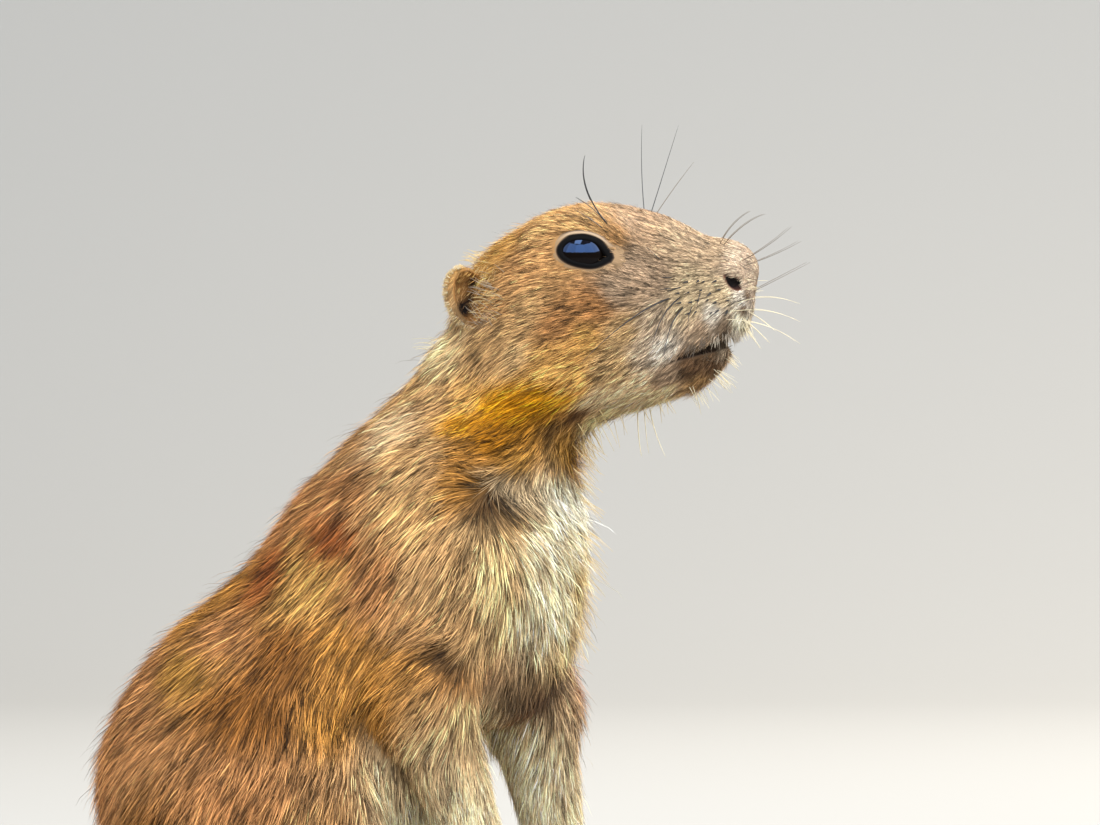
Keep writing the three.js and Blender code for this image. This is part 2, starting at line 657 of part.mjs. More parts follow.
// Lips: a roll of flesh along the line of the mouth, from one corner round the front to the other
function lipRoll(way) {
  const points = [];
  MOUTH.line.forEach(([x, z], i) => {
    const rolled = z + way * (MOUTH.gaps[i] / 2 + MOUTH.lip);
    if (headField(vec(x, 0, rolled)) < 0) points.push([x, halfWidth(x, rolled) - MOUTH.lip / 2, rolled]);
  });
  const right = points.map((point) => mirrored(point, "right"));
  const left = points.reverse().map((point) => mirrored(point, "left"));
  const round = [...right, ...left];
  return wasm.Manifold.union(round.slice(1).map((to, i) => limb(round[i], to, MOUTH.lip, MOUTH.lip, 6, 1)));
}
head = head.add(lipRoll(1)).add(lipRoll(-1));
const mouthCore = egg({ at: vec(...MOUTH.core.at), half: vec(...MOUTH.core.half), tilt: 0 }, 0, 20, 12);
const lipEdge = (way) => MOUTH.line.map(([x, z], i) => [x, z + (way * MOUTH.gaps[i]) / 2]);
head = head.subtract(slab([...lipEdge(-1), ...lipEdge(1).reverse()]).subtract(mouthCore));

// The jaw is what lies below the line of the mouth and ahead of its corner
function jawSpace(grow) {
  const rim = MOUTH.line.map(([x, z]) => [x, z + grow]);
  rim[0][0] -= grow;
  return slab([[rim[0][0], MOUTH.under], [rim.at(-1)[0], MOUTH.under], ...rim.reverse()]);
}

function whisker([[rootX, rootZ], [bendX, bendZ], [tipX, tipZ], out], side) {
  const surface = halfWidth(rootX, rootZ);
  const root = mirrored([rootX, surface - WHISKERS.sunk, rootZ], side);
  const bend = mirrored([bendX, lerp(surface, out, WHISKERS.spring), bendZ], side);
  const tip = mirrored([tipX, out, tipZ], side);
  return spike(new THREE.QuadraticBezierCurve3(root, bend, tip), WHISKERS);
}
const whiskers = SIDES.flatMap((side) => WHISKERS.both.map((form) => whisker(form, side)));
whiskers.push(...WHISKERS.left.map((form) => whisker(form, "left")));

add("head", wasm.Manifold.union([head.subtract(jawSpace(GAP / 2)), ...whiskers]), MATERIALS.coat);
add("jaw", head.intersect(jawSpace(-GAP / 2)), MATERIALS.coat);

animal.position.set(-ORIGIN_X, 0, 0);

export default animal;
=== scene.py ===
"""A life-size prairie dog sitting up: hide, coat, lids, eyes, claws and whiskers, on a floor in soft light.

Forms are given in millimetres in the animal's own frame: x towards the nose, y to its left, z up from the
floor. They are turned into the model's metres when a mesh is made.
"""
import math

import bmesh
import bpy
import numpy as np
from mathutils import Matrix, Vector


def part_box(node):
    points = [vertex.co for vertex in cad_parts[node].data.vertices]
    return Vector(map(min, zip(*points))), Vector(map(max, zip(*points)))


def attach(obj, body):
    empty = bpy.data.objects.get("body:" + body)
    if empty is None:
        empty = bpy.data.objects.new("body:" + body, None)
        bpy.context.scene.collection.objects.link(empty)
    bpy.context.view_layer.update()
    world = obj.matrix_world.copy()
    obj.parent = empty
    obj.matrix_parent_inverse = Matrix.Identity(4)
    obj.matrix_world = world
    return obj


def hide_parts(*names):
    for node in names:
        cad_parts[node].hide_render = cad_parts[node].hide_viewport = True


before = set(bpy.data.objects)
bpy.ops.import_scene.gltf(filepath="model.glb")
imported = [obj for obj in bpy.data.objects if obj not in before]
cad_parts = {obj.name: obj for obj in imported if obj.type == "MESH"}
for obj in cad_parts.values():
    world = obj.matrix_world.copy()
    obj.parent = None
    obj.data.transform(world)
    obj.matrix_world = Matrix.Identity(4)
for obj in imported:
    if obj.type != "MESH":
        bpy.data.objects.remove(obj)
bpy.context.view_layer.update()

ORIGIN_X = 57.1  # the model's origin in that frame
MM = 0.001
SEED = 20251
rng = np.random.default_rng(SEED)


def to_row(points):
    """Millimetres in the animal's frame to metres in the model's."""
    out = np.array(points, dtype=np.float64) * MM
    out[..., 0] -= ORIGIN_X * MM
    return out


def row_to_mm(flat):
    p = np.asarray(flat, dtype=np.float64).reshape(-1, 3) / MM
    p[:, 0] += ORIGIN_X
    return p


def folded(p):
    """Points with those of the right side brought over to the left."""
    q = p.copy()
    q[:, 1] = np.abs(q[:, 1])
    return q


def unit(v):
    v = np.asarray(v, dtype=np.float64)
    return v / (np.linalg.norm(v, axis=-1, keepdims=True) + 1e-12)


def rows(text):
    """The rows of a table, set apart by semicolons, with numbers as numbers and words as words."""
    return [[float(v) if v[-1].isdigit() else v for v in row.split()] for row in text.split(";")]


def named_colours(text):
    """Linear colours by name."""
    return {name: np.array(colour) for name, *colour in rows(text)}


def read(data, name, width, kind=np.float32):
    """One property of all elements of a mesh, as rows."""
    values = np.empty(len(data) * width, kind)
    data.foreach_get(name, values)
    return values.reshape(-1, width)


def placed(name, data):
    """An object of its own for a mesh, light or camera."""
    obj = bpy.data.objects.new(name, data)
    bpy.context.collection.objects.link(obj)
    return obj


# Forms of the body. Each carries the depth of the coat over it, which the hide lies under.
def ball(at, half, tilt=0.0, coat=2.2, blend=6.0, pair=False):
    at, half = np.array(at, float), np.array(half, float)
    return dict(at=at, half=half, tilt=math.radians(tilt), coat=coat, blend=blend, pair=pair)


def taper(start, end, r0, r1, coat=2.2, blend=6.0):
    start, end = np.array(start, float), np.array(end, float)
    return dict(start=start, end=end, r0=r0, r1=r1, coat=coat, blend=blend, pair=False)


TRUNK = [
    ball((85.5, 0, 82), (40, 27.5, 29), 48, blend=10),
    ball((104, 0, 78), (18, 20, 29), 0, blend=9),
    ball((56.5, 0, 48.5), (41, 33, 30), 46, blend=12),
    ball((68, 0, 34), (27, 28, 22), 14, blend=12),
    ball((48.5, 0, 31), (25.5, 31, 28), 30, blend=11),
    ball((79, 14, 90), (19, 9.5, 11), 52, blend=10, pair=True),
]
NECK = [
    taper((92.5, 0, 102), (104.5, 0, 130), 18.6, 12, coat=2.0, blend=9),
    taper((102.5, 0, 97), (110, 0, 121), 15.5, 12, coat=2.0, blend=9),
]
HEAD = [
    ball((114.5, 0, 138.2), (18.8, 17, 16.6), 16, coat=1.3),
    ball((127.8, 0, 146.8), (17.6, 12.5, 12.2), -12, coat=0.9, blend=7),
    ball((141, 0, 142.2), (17, 10.2, 11.6), -20, coat=0.6, blend=7),
    ball((152.4, 0, 145.4), (6.2, 5.6, 5.5), -20, coat=0.2, blend=4),
    ball((146.8, 3.8, 135.8), (9.6, 6.2, 7.6), 8, coat=0.5, blend=5, pair=True),
    ball((123, 11.5, 138.5), (15, 8.2, 8.5), -6, coat=1.0, blend=8, pair=True),
    ball((115.5, 9.5, 126.5), (17, 12.5, 13.5), 16, coat=1.8, blend=7, pair=True),
    ball((132, 8, 127.5), (12, 6.5, 9.5), 0, coat=1.2, blend=8, pair=True),
    taper((118, 0, 122.5), (142.6, 0, 125), 12, 7.3, coat=1.2, blend=6),
    ball((147.4, 0, 126), (5, 5.2, 3.6), 24, coat=0.6, blend=3),
    ball((121, 10.8, 152), (10, 4.5, 4.5), -4, coat=0.7, blend=7, pair=True),
]
SIDES = {"right": -1.0, "left": 1.0}
FORELEG = {
    "right": dict(shoulder=(95, 15, 79), elbow=(88.5, 24, 56), wrist=(104, 20.5, 11), heading=3),
    "left": dict(shoulder=(99, 15, 79), elbow=(110, 22, 52), wrist=(118, 20, 11), heading=6),
}
FOREPAW = dict(half=(9.5, 6.6, 4.6), ahead=6.5, height=4.2)
HINDFOOT = dict(heel=(29, 33.5, 5.6), instep=(55, 37.5, 5.2), half=(9.5, 7.6, 4.4), heading=7)
FORE_DIGITS = dict(
    spread=(-30, -12, 4, 20, 52), reach=(14, 18.5, 18.5, 15.5, 7.5), root=5.5, r0=2.5, r1=1.75,
    claw=(4.2, 6.2, 6.2, 5.4, 2.4), claw_r=1.05,
)
HIND_DIGITS = dict(
    spread=(-34, -15, 0, 14, 32), reach=(12, 19.5, 21, 19.5, 12.5), root=5.0, r0=2.9, r1=2.0,
    claw=(3.6, 4.8, 5, 4.8, 3.8), claw_r=1.05,
)
DIGIT_RISE = 1.6  # how much higher than lying flat a digit's root is
CLAW_RISE = 1.0
TAIL_LINE = [(36, 0, 16), (18, 0, 10.5), (-1, 2.5, 7.6), (-26, 9, 6.6), (-44.5, 16, 4.4)]
TAIL_RADII = [14, 10.5, 8.4, 8.6, 4.6]
SINK = 0.8


def mirrored(p, sign):
    return np.array((p[0], sign * abs(p[1]), p[2]), float)


def heading_step(start, heading, distance, sign):
    a = math.radians(heading * sign)
    return np.array((start[0] + distance * math.cos(a), start[1] + distance * math.sin(a), start[2]), float)


def digit_lines(centre, heading, digits, sign):
    lines = []
    for i, reach in enumerate(digits["reach"]):
        turned = heading + digits["spread"][i]
        root = heading_step(centre, turned, digits["root"], sign)
        tip = heading_step(centre, turned, reach, sign)
        claw = heading_step(centre, turned, reach + digits["r1"] * 0.55, sign)
        root[2] = digits["r0"] + DIGIT_RISE
        tip[2] = digits["r1"] - SINK / 2
        claw[2] = digits["claw_r"] + CLAW_RISE
        length = digits["claw"][i] + digits["r1"] * 0.45 + 0.3
        lines.append(dict(root=root, tip=tip, claw=claw, turned=turned, length=length))
    return lines


def toes(lines, digits):
    return [taper(d["root"], d["tip"], digits["r0"], digits["r1"], coat=0.25, blend=1.2) for d in lines]


LIMBS = []
DIGIT_LINES = {}
for side, sign in SIDES.items():
    leg = FORELEG[side]
    shoulder, elbow, wrist = (mirrored(leg[k], sign) for k in ("shoulder", "elbow", "wrist"))
    LIMBS.append(taper(shoulder, elbow, 16.5, 11, coat=2.0, blend=7))
    LIMBS.append(taper(elbow, wrist, 10, 5.4, coat=1.2, blend=5))
    palm = heading_step(wrist, leg["heading"], FOREPAW["ahead"], sign)
    palm[2] = FOREPAW["height"] - SINK / 2
    LIMBS.append(ball(palm, FOREPAW["half"], coat=0.5, blend=4))
    lines = digit_lines(palm, leg["heading"], FORE_DIGITS, sign)
    DIGIT_LINES["fore_" + side] = (lines, FORE_DIGITS)
    LIMBS += toes(lines, FORE_DIGITS)
    LIMBS.append(ball(mirrored((50, 25, 33), sign), (26, 14.5, 25), 22, coat=2.2, blend=8))
    LIMBS.append(ball(mirrored((66, 30, 32), sign), (13, 9, 15), 28, coat=2.0, blend=8))
    LIMBS.append(taper(mirrored((66, 30, 24), sign), mirrored((34, 32.5, 10), sign), 9, 6, coat=1.3, blend=6))
    heel, instep = mirrored(HINDFOOT["heel"], sign), mirrored(HINDFOOT["instep"], sign)
    LIMBS.append(taper(heel, instep, 6, 5.8, coat=0.6, blend=4))
    sole = instep.copy()
    sole[2] = HINDFOOT["half"][2] - SINK / 2
    LIMBS.append(ball(sole, HINDFOOT["half"], coat=0.5, blend=3))
    lines = digit_lines(instep, HINDFOOT["heading"], HIND_DIGITS, sign)
    DIGIT_LINES["hind_" + side] = (lines, HIND_DIGITS)
    LIMBS += toes(lines, HIND_DIGITS)
TAIL = [
    taper(TAIL_LINE[i], TAIL_LINE[i + 1], TAIL_RADII[i], TAIL_RADII[i + 1], coat=3.0, blend=2 if i else 5)
    for i in range(len(TAIL_LINE) - 1)
]
BODY = TRUNK + NECK + HEAD + LIMBS + TAIL
FACE = HEAD + NECK + TRUNK[:2]


def form_field(p, form, coated):
    """How far points lie outside a form: below 0 inside, and much like a distance outside."""
    x, y, z = p[:, 0], p[:, 1], p[:, 2]
    if form["pair"]:
        y = np.abs(y)
    if "half" in form:
        c, s = math.cos(form["tilt"]), math.sin(form["tilt"])
        dx, dy, dz = x - form["at"][0], y - form["at"][1], z - form["at"][2]
        value = egg_field(dx * c + dz * s, dy, dz * c - dx * s, form["half"])
    else:
        o = form["start"]
        axis = form["end"] - o
        px, py, pz = x - o[0], y - o[1], z - o[2]
        t = np.clip((px * axis[0] + py * axis[1] + pz * axis[2]) / (axis @ axis), 0, 1)
        value = np.sqrt((px - t * axis[0]) ** 2 + (py - t * axis[1]) ** 2 + (pz - t * axis[2]) ** 2)
        value = value - (form["r0"] + (form["r1"] - form["r0"]) * t)
    return value if coated else value + form["coat"]


def egg_field(u, v, w, half):
    a, b, c = half
    near = np.sqrt((u / a) ** 2 + (v / b) ** 2 + (w / c) ** 2)
    slope = np.sqrt((u / a**2) ** 2 + (v / b**2) ** 2 + (w / c**2) ** 2) + 1e-9
    return near * (near - 1) / slope


def smooth_min(a, b, blend):
    h = np.maximum(blend - np.abs(a - b), 0) / blend
    return np.minimum(a, b) - h * h * blend / 4


def smooth_max(a, b, blend):
    return -smooth_min(-a, -b, blend)


def field(p, forms=BODY, coated=False):
    value = None
    for form in forms:
        d = form_field(p, form, coated)
        value = d if value is None else smooth_min(value, d, form["blend"])
    return value


def half_width(x, z, forms=FACE):
    """The coat's distance from the midline at a place seen from the side."""
    y = np.arange(0, 50, 0.02)
    p = np.stack([np.full_like(y, x), y, np.full_like(y, z)], 1)
    inside = field(p, forms, coated=True) < 0
    return float(y[np.argmin(inside)]) if inside[0] else 0.0


# Face. Places are given by x and z as seen from the side.
EYE = dict(
    at=(120.9, 147.7), proud=0.9, radius=5.4, rear=4.4, front=5.0, height=2.5, tilt=-8,
    outward=(0.16, 1, 0.2),
)
EAR = dict(at=(97.2, 139), proud=2.4, half=(4.7, 3.5, 6.7), wall=1.1, tilt=18, outward=(0.32, 1, 0.04))
NOSTRIL = dict(at=(153.2, 142), half=(2.85, 1.9, 1.3), tilt=-28)
MOUTH_X = (139.6, 142, 146, 150, 154, 160)
MOUTH_Z = (125.8, 126.7, 128.0, 129.3, 130.6, 132.4)
MOUTH_GAP = (0.3, 0.6, 1.4, 2.2, 2.2, 2.0)  # how far the lips part at each of those places
MOUTH_LEAN = 0.94  # cosine of the angle that the mouth's line rises at
MOUTH_DEPTH = 4.5


def side_frame(spec, sunk, sign):
    """Centre, forward, outward and up directions of an eye or ear on one side of the head."""
    x, z = spec["at"]
    centre = mirrored((x, half_width(x, z) - sunk, z), sign)
    out = unit(mirrored(spec["outward"], sign))
    tilt = math.radians(spec["tilt"])
    forward = np.array((math.cos(tilt), 0, math.sin(tilt)))
    forward = unit(forward - out * (forward @ out))
    up = np.cross(forward, out)
    up *= math.copysign(1, up[2])
    return centre, forward, out, up


EYES = {side: side_frame(EYE, EYE["radius"] - EYE["proud"], sign) for side, sign in SIDES.items()}
EARS = {side: side_frame(EAR, EAR["half"][1] - EAR["proud"], sign) for side, sign in SIDES.items()}
NOSTRIL_Y = half_width(*NOSTRIL["at"]) - 0.1
NOSTRIL_AT = (NOSTRIL["at"][0], NOSTRIL_Y, NOSTRIL["at"][1])
NOSTRILS = {side: mirrored(NOSTRIL_AT, sign) for side, sign in SIDES.items()}


def local(p, side_basis):
    centre, forward, out, up = side_basis
    q = p - centre
    return q @ forward, q @ out, q @ up


# The eye's opening, seen square to the eye: round behind and pointed in front
def opening_half(u):
    s = np.clip(np.where(u < 0, -u / EYE["rear"], u / EYE["front"]), 0, 1)
    round_end = np.sqrt(1 - s * s)
    point = round_end * (1 - s * s) + 1.6 * (1 - s) * s * s
    return EYE["height"] * np.where(u < 0, round_end, point)


OPENING_STEPS = 72
turn = np.arange(OPENING_STEPS) * 2 * math.pi / OPENING_STEPS
opening_u = np.cos(turn) * np.where(np.cos(turn) < 0, EYE["rear"], EYE["front"])
OPENING = np.stack([opening_u, opening_half(opening_u) * np.sign(np.sin(turn).round(9))], 1)
EYE_REACH = 11.0  # beyond this the distance to the opening isn't worked out


def eye_rim(u, w):
    """How far outside the eye's opening a place is, and below 0 inside it."""
    rim = np.full(len(u), EYE_REACH)
    near = u * u + w * w < EYE_REACH**2
    a, b = u[near], w[near]
    least = np.full(len(a), 1e9)
    for (u0, w0), (u1, w1) in zip(OPENING, np.roll(OPENING, -1, 0)):
        du, dw = u1 - u0, w1 - w0
        t = np.clip(((a - u0) * du + (b - w0) * dw) / (du * du + dw * dw + 1e-9), 0, 1)
        least = np.minimum(least, (a - u0 - t * du) ** 2 + (b - w0 - t * dw) ** 2)
    inside = (np.abs(b) < opening_half(a)) & (a > -EYE["rear"]) & (a < EYE["front"])
    rim[near] = np.sqrt(least) * np.where(inside, -1, 1)
    return rim


def mouth_place(p):
    """Distance along the mouth from its corner, distance across from its middle, and half its gap there."""
    x = p[:, 0]
    middle = np.interp(x, MOUTH_X, MOUTH_Z)
    half = np.interp(x, MOUTH_X, MOUTH_GAP) / 2
    return (x - MOUTH_X[0]) / MOUTH_LEAN, (p[:, 2] - middle) * MOUTH_LEAN, half


def nostril_field(p, side):
    """The nostril is a comma: thin behind and above, and wider in front."""
    q = p - NOSTRILS[side]
    t = math.radians(NOSTRIL["tilt"])
    u = q[:, 0] * math.cos(t) + q[:, 2] * math.sin(t)
    w = q[:, 2] * math.cos(t) - q[:, 0] * math.sin(t) - 0.08 * u * u
    open_more = 0.72 + 0.2 * np.clip(u / NOSTRIL["half"][0], -1, 1)
    return egg_field(u, q[:, 1], w / open_more * 0.85, NOSTRIL["half"])


def hide_field(p, carve=1.0):
    """The hide: the body under its coat, with ears and lips, and carved by eyes, nostrils and mouth."""
    value = field(p)
    near_head = p[:, 0] + 0.6 * p[:, 2] > 160
    if not near_head.any():
        return value
    q = p[near_head]
    v = value[near_head]
    base = field(q, FACE, coated=True)
    for side in SIDES:
        u, out, w = local(q, EARS[side])
        a, b, c = EAR["half"]
        v = smooth_min(v, egg_field(u, out, w, (a - 0.2, b - 0.2, c - 0.2)), 1.4)
        shift = EAR["wall"] + 0.9 + (1 - carve) * 3.5
        hollow = egg_field(u - 0.5, out - shift, w, (a - EAR["wall"] - 0.1, b, c - EAR["wall"] - 0.1))
        v = smooth_max(v, -hollow, 0.5)
        u, out, w = local(q, EYES[side])
        r = np.sqrt(u * u + out * out + w * w)
        v = smooth_min(v, r - (EYE["radius"] + 0.1), 1.6)
        pit = np.maximum(np.maximum(eye_rim(u, w) - 0.3, (EYE["radius"] - 0.6) - r), -out)
        v = smooth_max(v, -pit, 0.5)
        v = smooth_max(v, -nostril_field(q, side) * carve - (1 - carve) * 2, 0.3)
        wing = q - NOSTRILS[side] - np.array((-1.4, -SIDES[side] * 1.3, 2.2))
        v = smooth_min(v, np.sqrt((wing[:, 0] / 1.6) ** 2 + wing[:, 1] ** 2 + wing[:, 2] ** 2) - 1.9, 1.6)
    along, across, half = mouth_place(q)
    roll = np.abs(np.abs(across) - half - 1.0) + np.maximum(-along, 0)
    v = v - 0.45 * np.exp(-((roll / 0.9) ** 2)) * (np.abs(base) < 6)
    slit = np.maximum(np.maximum(np.abs(across) - half, -along), -(MOUTH_DEPTH * carve) - base)
    v = smooth_max(v, -slit, 0.4)
    front = np.clip((q[:, 0] - 150) / 4, 0, 1)
    cleft = np.exp(-((q[:, 1] / 0.5) ** 2)) * front * np.clip((142.5 - q[:, 2]) / 3, 0, 1)
    value[near_head] = v + 0.5 * cleft
    return value


def gradient(p, f, h=0.05):
    g = np.empty_like(p)
    for k in range(3):
        step = np.zeros(3)
        step[k] = h
        g[:, k] = (f(p + step) - f(p - step)) / (2 * h)
    return g


def settle(p, f, rounds, most=0.8):
    """Moves points onto the surface of a field, a little at a time."""
    for _ in range(rounds):
        value = f(p)
        g = gradient(p, f)
        step = -(value / np.maximum((g * g).sum(1), 0.05))[:, None] * g
        size = np.linalg.norm(step, axis=1, keepdims=True)
        p = p + step * np.minimum(1, most / (size + 1e-9))
    return p


GRID_PARTS = 12  # a whole grid at once would take too much memory


def surface_net(f, low, high, cell):
    """A closed mesh of quads round the inside of a field."""
    counts = np.ceil((high - low) / cell).astype(int) + 1
    grid = low + cell * np.moveaxis(np.indices(counts), 0, -1).reshape(-1, 3)
    values = np.concatenate([f(part) for part in np.array_split(grid, GRID_PARTS)]).reshape(counts)
    hits = np.zeros(counts - 1)
    total = np.zeros(hits.shape + (3,))
    crossings = []
    for k, (m, n) in enumerate(((1, 2), (0, 2), (0, 1))):
        before, after = np.delete(values, -1, k), np.delete(values, 0, k)
        cross = (before < 0) != (after < 0)
        place = np.moveaxis(np.indices(cross.shape).astype(float), 0, -1)
        place[..., k] += np.where(cross, before / np.where(cross, before - after, 1), 0)
        for s, u in np.ndindex(2, 2):
            cut = [slice(None)] * 3
            cut[m] = slice(s, cross.shape[m] - 1 + s)
            cut[n] = slice(u, cross.shape[n] - 1 + u)
            total += place[tuple(cut)] * cross[tuple(cut)][..., None]
            hits += cross[tuple(cut)]
        crossings.append((k, m, n, cross, before < 0))
    used = hits > 0
    index = np.full(hits.shape, -1)
    index[used] = np.arange(used.sum())
    points = low + cell * total[used] / hits[used][:, None]
    quads = []
    for k, m, n, cross, starts_inside in crossings:
        where = np.argwhere(cross)
        keep = (where[:, m] > 0) & (where[:, n] > 0)
        keep &= (where[:, m] < counts[m] - 1) & (where[:, n] < counts[n] - 1)
        where = where[keep]
        around = []
        for s, u in ((1, 1), (0, 1), (0, 0), (1, 0)):
            c = where.copy()
            c[:, m] -= s
            c[:, n] -= u
            around.append(index[tuple(c.T)])
        quad = np.stack(around, 1)
        flip = starts_inside[tuple(where.T)] ^ (k == 1)
        quad[~flip] = quad[~flip][:, ::-1]
        quads.append(quad)
    return points, np.concatenate(quads)


def new_mesh(name, points, faces, smooth=True):
    """A mesh object from points in millimetres and faces of one size."""
    mesh = bpy.data.meshes.new(name)
    faces = np.asarray(faces, dtype=np.int32)
    per = faces.shape[1]
    mesh.vertices.add(len(points))
    mesh.vertices.foreach_set("co", to_row(points).astype(np.float32).ravel())
    mesh.loops.add(faces.size)
    mesh.loops.foreach_set("vertex_index", faces.ravel())
    mesh.polygons.add(len(faces))
    mesh.polygons.foreach_set("loop_start", np.arange(0, faces.size, per, dtype=np.int32))
    mesh.polygons.foreach_set("use_smooth", np.full(len(faces), smooth))
    mesh.update(calc_edges=True)
    return placed(name, mesh)


# Noise in space, for mottling and for breaking up the lie of the coat
SCRAMBLE = np.array((73856093, 19349663, 83492791))
SEED_SCRAMBLE = 2654435761


def lattice_noise(p, size, seed):
    """Smooth noise from -1 to 1 that varies over about the given size in millimetres."""
    q = p / size
    cell = np.floor(q).astype(np.int64)
    f = q - cell
    f = f * f * (3 - 2 * f)
    out = np.zeros(len(p))
    for step in np.ndindex(2, 2, 2):
        i, j, k = ((cell + step) * SCRAMBLE).T
        h = i ^ j ^ k ^ seed * SEED_SCRAMBLE
        h = (h ^ (h >> 13)) * 1274126177 & 0x7FFFFFFF
        value = (h ^ (h >> 16)) % 65536 / 32768 - 1
        u, v, w = np.where(step, f, 1 - f).T
        out += value * (u * v * w)
    return out


def streak_noise(p, way, size, reach, seed):
    """Noise as fine as the size across the way given, which runs on along it. Its spread is about 1."""
    steps = math.ceil(2 * reach / size)
    total = np.zeros(len(p))
    for s in np.linspace(-reach, reach, steps):
        total += lattice_noise(p + way * s, size, seed)
    return total / (0.36 * math.sqrt(steps))


# Coat colours, linear
PALETTE = named_colours("""
sand .57 .315 .12; wheat .47 .296 .167; peach .7 .44 .23; flax .86 .57 .31; flaxen .8 .534 .265;
buff .493 .336 .198; pearl .62 .45 .31; smoke .34 .225 .136; fawn .45 .325 .185; ash .19 .125 .075;
silver .55 .46 .36; straw .518 .369 .235; ochre .49 .3 .13; amber .57 .295 .078; apricot .74 .38 .105;
rust .31 .14 .046; hazel .462 .263 .105; umber .13 .068 .032; bark .1 .05 .018; gold .8 .33 .009;
old_gold .33 .125 .006; bronze .41 .2 .04; tan .46 .235 .086; tawny .475 .269 .109; copper .42 .185 .036;
russet .44 .195 .066; brick .237 .067 .015; chestnut .229 .088 .018; honey .83 .55 .25; cream .93 .8 .56;
ivory .97 .71 .41; vanilla .9 .66 .4; henna .13 .045 .009
""")
# Patches of colour on both flanks, as seen from the side: x, z, size, colour, strength. The brick one at
# 112.5 61, between the forelegs, is painted shade
SIDE_MARKINGS = rows("""
123 156 8 sand 1; 112 155 8 sand 1; 104 150 7 amber 1; 135 155 7 wheat 1.2; 142 152 6 buff 1.1;
148 149.5 6 buff 1; 156.3 139.6 1.4 umber 2.6; 155.6 137.2 1.4 umber 2.4; 155 134.6 1.2 umber 1.8;
155 147 5 pearl 1.2; 156 143 3.5 pearl .9; 155.5 139 3 silver .9; 133 147 5 smoke 1.2; 129 141 5 smoke 1;
138 144 5 smoke .8; 129 152 4.5 tan 1; 117 150 5 tan .9; 109 147 7 tan 1.1; 145.5 141.5 4.5 fawn 1.3;
144 137.5 4.5 fawn 1.2; 150 139.5 3.5 fawn 1.2; 149 136 3.5 silver 1; 151.5 134 3.2 ash 1.8;
154.5 134.5 2.6 cream 1.3; 138 129.3 4 silver 1.5; 137 134 4.5 straw 1.1; 143.5 126.3 2.6 umber 1.5;
146 133 3.5 smoke 1.1; 145.5 124 3.2 umber 1.4; 149.5 124.5 3.2 umber 1.2; 147 120.5 3.2 hazel 1;
140.5 123 3.5 smoke 1.2; 151 127.4 1.6 straw 1; 125 137 5.5 rust 1.4; 117 133 6 rust 1.4; 110 136 6 hazel 1;
104.5 139.5 4 tan .9; 96 141.3 2.4 hazel 1.8; 96.7 137 1.7 umber 1.8; 98.4 142.2 1.2 umber 1.2;
100.6 136 2 smoke 1.2; 93.2 140 1.3 honey 1.8; 95 145.3 1.6 honey 1.4; 102 129 6 hazel 1.2;
108 127.5 5 ochre 1; 131 132 5 ochre .8; 135 128.5 5 straw 1.2; 129 125 6 ochre 1.2; 124 130 5 amber 1;
117 126 6 apricot 1.4; 121 121 5 apricot 1.1; 133 118.5 5 flax 1.4; 127 118 4.5 flax 1.1;
138 118 4.5 flax 1.1; 136 114.5 3.5 honey 1.3; 109.5 117 4.2 gold 1.4; 103.5 115.6 4.8 gold 1.4;
115 117.5 5 gold 1.4; 96.5 114.5 4.5 gold .8; 96 119 4.5 apricot 1.2; 122.5 113.8 3 henna 1.7;
119.5 118 3.5 gold 1.2; 116.5 111.2 3.4 bark 1.5; 120.5 108.5 4.5 bronze 2.4; 127 111.5 3 honey 1;
117.5 105 3 bronze 1.4; 104 111.5 5.5 old_gold 2; 110 107 4.5 bronze 1.4; 98 106 4.5 copper 1.2;
90 128 6 flaxen 1.2; 92 119 5 tawny 1.2; 82 113.5 6 peach 1.2; 87.5 106.5 7 tawny 1.2;
97.5 100.5 4 copper 1; 101 97.6 3.4 bark 4.2; 105 99.8 3.5 fawn 1.4; 109.5 99.5 4 fawn 1.4;
107.5 94.5 3.2 bronze 1; 101.5 92.5 4 ochre 1; 113.5 103 3.5 fawn 1.2; 116.5 99.5 3.4 cream 1.6;
120.5 97 5 cream 1.6; 113 90.5 4 vanilla 1.6; 120 90 6 ivory 1.1; 110 84.5 4 ochre 1.2; 118 77 7 ivory 1.3;
121.5 83 5 honey 1.1; 112 74 5 honey 1.2; 106 80 5 honey 1.3; 105 88 4.5 honey 1; 119 66 6 honey 1.2;
87.5 97 6 sand 1.1; 96 88 5 tawny 1; 92 84 6 tawny 1.1; 98 77 6 tawny 1.1; 90 74 6 tan 1;
79 84.5 7 russet 1.2; 73 101 6 russet 1.2; 71 92.5 5 brick 2; 78 94 5 tan 1; 66 84 7 amber 1.4;
87.5 64 6 copper 1.3; 80 57.5 6 copper 1.2; 95 66 3.5 bark 1; 94.5 60.5 4 chestnut 1.2; 103 66 4 honey 1;
101 56 4 honey 1; 112.5 61 6 brick 5; 110 53 5 bronze 1.6; 62 68 7 chestnut 1.6; 72 68 6 copper 1;
70 56 6 copper .9; 48 72 7 russet 1.2; 57 84 6 brick 1; 40 65 7 bronze 1.3; 52 56 8 chestnut 1.1;
30 54 8 russet 1; 22 42 9 russet 1; 50 34 12 russet 1.2; 34 26 10 chestnut 1; 67 30 8 tan 1.1;
88 46 6 ochre 1; 100 40 6 honey 1; 104 20 6 honey 1
""")
